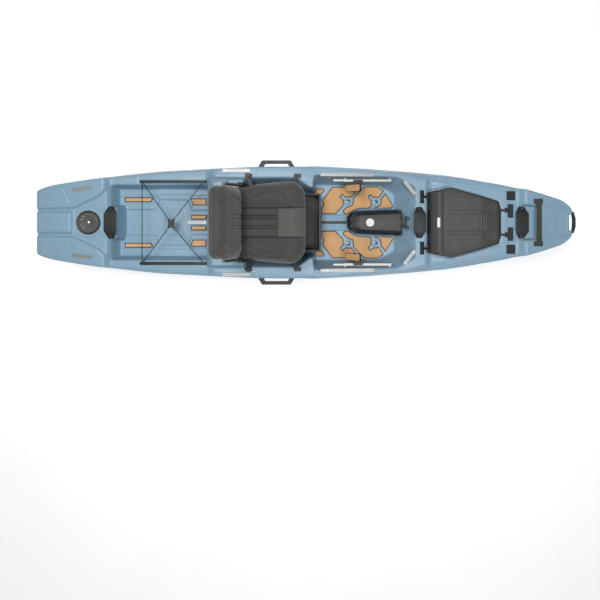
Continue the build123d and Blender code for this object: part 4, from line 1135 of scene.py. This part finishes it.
def seam(near, depth=6.0, width=4.6):
    return -depth * np.exp(-((near / width) ** 2))


SEAT_TOP = [(-489, 574), (-321, 586), (-180, 622), (-95, 644), (-50, 640), (-22, 622), (-5, 596), (0, 566)]
SEAT_UNDER = [(-489, 504), (-60, 504), (-30, 510), (-10, 524), (-2, 540), (0, 556)]
SEAT_HALF = [(-489, 241), (-385, 243), (-350, 266), (-200, 277), (-120, 278)]


def seat_cushion():
    stations = []
    nose, corner = 0.0, 118.0
    for x in [-489, -483, -472, *range(-460, -130, 15), *np.linspace(-120, -1.5, 20)]:
        top, low, half = table(SEAT_TOP, x), table(SEAT_UNDER, x), table(SEAT_HALF, x)
        into = max(0.0, x - (nose - corner))
        half = half - corner + math.sqrt(max(corner ** 2 - into ** 2, 0.0)) if into else half
        stations.append(((x, (top + low) / 2), half, (top - low) / 2, (0, 1)))
    piece = stuff(soft_block("seat_cushion_cover", stations, 6.0), 0.007, 3.0, 0.010,
                  lambda p: p[2] < 512)
    teardrop = [(-478, 112), (-400, 150), (-300, 194), (-215, 206), (-168, 196), (-142, 160), (-130, 110)]

    def shape(points, normals):
        x, y = points[:, 0], points[:, 1]
        a = np.abs(y)
        total = seam(a - 98, 9.0, 5.5) * smooth_step((-4 - x) / 20)
        for line in (45, 26, -23, -41):
            total += seam(y - line, 7.5, 4.8) * smooth_step((-190 - x) / 14)
        total += seam(x + 192, 8.0, 5.0) * smooth_step((96 - a) / 8)
        drop = distance(teardrop, x, a)
        total += seam(drop, 6.0, 4.6) - 6.0 * smooth_step(0.5 - drop / 12)
        bolster = smooth_step((a - 100) / 60) * smooth_step((-20 - x) / 120)
        return total + 14.0 * bolster * smooth_step((272 - a) / 60)
    press(piece, shape, (0, 0, 1))

    def rim(points, normals):
        edge = np.interp(points[:, 0], [-489, -200, -20], [552, 588, 540])
        return seam(points[:, 2] - edge, 3.0, 4.0)
    press(piece, rim, (0, 1, 0))
    press(piece, rim, (0, -1, 0))
    paint(piece, COVER_LIGHT, lambda p: -190 < p[0] < -8 and abs(p[1]) < 97 and p[2] > 585)

    # Painted shade: faces within 2.7 mm of the seam lines take the near-black copy of the cover, standing in
    # for the shade down in the channels.
    def in_seam_shade(p):
        x, y, z = p
        if z < 560 or x > -6:
            return False
        lines = [abs(abs(y) - 98)]
        lines += [abs(y - line) for line in (45, 26, -23, -41) if x < -190]
        lines += [abs(x + 192)] if abs(y) < 98 else []
        return min(lines) < 2.7
    paint(piece, PAINTED_SEAM_SHADE, in_seam_shade)
    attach(piece, "seat")
    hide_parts("seat_cushion")


def paint(piece, material, chosen):
    """A second material on the faces whose centre passes a test in mm above the keel."""
    piece.data.materials.append(material)
    index = len(piece.data.materials) - 1
    for polygon in piece.data.polygons:
        centre = polygon.center * 1000
        if chosen((centre.x, centre.y, centre.z - KEEL_Z)):
            polygon.material_index = index


BACK_FRONT = [(650, -447), (672, -428), (732, -423), (830, -443), (955, -488), (988, -524)]
BACK_REAR = [(650, -521), (732, -521), (806, -520), (946, -556), (978, -563), (988, -548)]


def back_cushion():
    stations = []
    corner, crown = 88.0, 988.0
    for z in [652, 656, 664, *range(680, 880, 20), *np.linspace(890, 986.5, 16)]:
        front, rear = table(BACK_FRONT, z), table(BACK_REAR, z)
        into = max(0.0, z - (crown - corner))
        half = 227.0 - (corner - math.sqrt(max(corner ** 2 - into ** 2, 0.0)) if into else 0.0)
        low = max(0.0, 672 - z)
        half -= 20 - math.sqrt(400 - low ** 2)
        stations.append((((front + rear) / 2, z), half, (front - rear) / 2, (1, 0)))
    piece = stuff(soft_block("back_cushion_cover", stations, 5.0), 0.007, 2.5, 0.008,
                  lambda p: p[0] < -505 and p[2] < 800)
    bolster = [(660, 112), (760, 138), (880, 150), (985, 118)]

    def shape(points, normals):
        a, z = np.abs(points[:, 1]), points[:, 2]
        line = table(bolster, z)
        total = seam(a - line, 8.0, 5.4)
        for y in (46, 24, -22, -42):
            total += seam(points[:, 1] - y, 7.0, 4.8) * smooth_step((940 - z) / 20)
        total += seam(z - 944, 7.0, 5.0) * smooth_step((line - a) / 8)
        return total + 5.0 * smooth_step((a - line) / 30)
    press(piece, shape, (1, 0, 0.2))
    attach(piece, "backrest")
    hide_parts("back_cushion")


seat_cushion()
back_cushion()

# tan pads of the toe pedals
def pedal_pads():
    lean = math.radians(48)
    u, n = (math.cos(lean), math.sin(lean)), (-math.sin(lean), math.cos(lean))
    for side, name in SIDES:
        bm = bmesh.new()
        outline = rounded([(-66, -23), (66, -23), (66, 23), (-66, 23)], 8)
        layers = []
        for high, grow in ((14.8, 0), (17.2, 0), (18.0, -1)):
            ring = []
            for a, b in outline:
                a, b = a + math.copysign(grow, a), b + math.copysign(grow, b)
                ring.append(bm.verts.new(row(360 + u[0] * a + n[0] * high, side * 254.5 + b,
                                             292 + u[1] * a + n[1] * high)))
            layers.append(ring)
        for low, top in zip(layers, layers[1:]):
            for k in range(len(low)):
                bm.faces.new((low[k], low[(k + 1) % len(low)], top[(k + 1) % len(low)], top[k]))
        bm.faces.new(layers[-1])
        bm.faces.new(layers[0][::-1])
        piece = from_bmesh("toe_pad_" + name, bm, TAN, smooth=False)
        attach(piece, "toe_pedal_" + name)


pedal_pads()


# ------------------------------------------------------------------ floor, light and camera
def studio():
    floor = mesh_piece("studio_floor", [(-9, -9, 0), (9, -9, 0), (9, 9, 0), (-9, 9, 0)], [(0, 1, 2, 3)])
    made = Nodes("studio_paper", specular=0.1)
    made.colour(made.noise(2.0, 2.0), [(0.3, (0.86, 0.86, 0.86, 1)), (0.7, (0.89, 0.89, 0.89, 1))])
    made.shader.inputs["Roughness"].default_value = 0.9
    made.shader.inputs["Emission Color"].default_value = (1, 1, 1, 1)
    made.shader.inputs["Emission Strength"].default_value = 0.42
    floor.data.materials.append(made.material)
    world = bpy.data.worlds.new("studio")
    bpy.context.scene.world = world
    world.use_nodes = True
    background = world.node_tree.nodes["Background"]
    background.inputs["Color"].default_value = (1.0, 1.0, 1.0, 1)
    background.inputs["Strength"].default_value = 0.18
    for name, place, size, power in (("key_light", (-1.1, 0.9, 5.4), 1.6, 150),
                                     ("fill_light", (1.3, -0.9, 5.4), 2.0, 110)):
        light = bpy.data.lights.new(name, "AREA")
        light.energy = power
        light.size = size
        lamp = bpy.data.objects.new(name, light)
        bpy.context.scene.collection.objects.link(lamp)
        lamp.location = place
        lamp.rotation_mode = "QUATERNION"
        lamp.rotation_quaternion = (Vector((0, 0, 0.4)) - Vector(place)).to_track_quat("-Z", "Y")


def camera():
    view = bpy.data.cameras.new("camera")
    eye = bpy.data.objects.new("camera", view)
    bpy.context.scene.collection.objects.link(eye)
    deck_level, height, width = 0.566, 3.1, 4.32
    eye.location = (-0.04, 0, deck_level + height)
    eye.rotation_euler = (0, 0, 0)
    view.sensor_width = 36
    view.lens = 36 * height / width
    view.shift_y = -77.5 / 600
    view.clip_end = 60
    bpy.context.scene.view_settings.view_transform = "Standard"
    bpy.context.scene.camera = eye


studio()
camera()
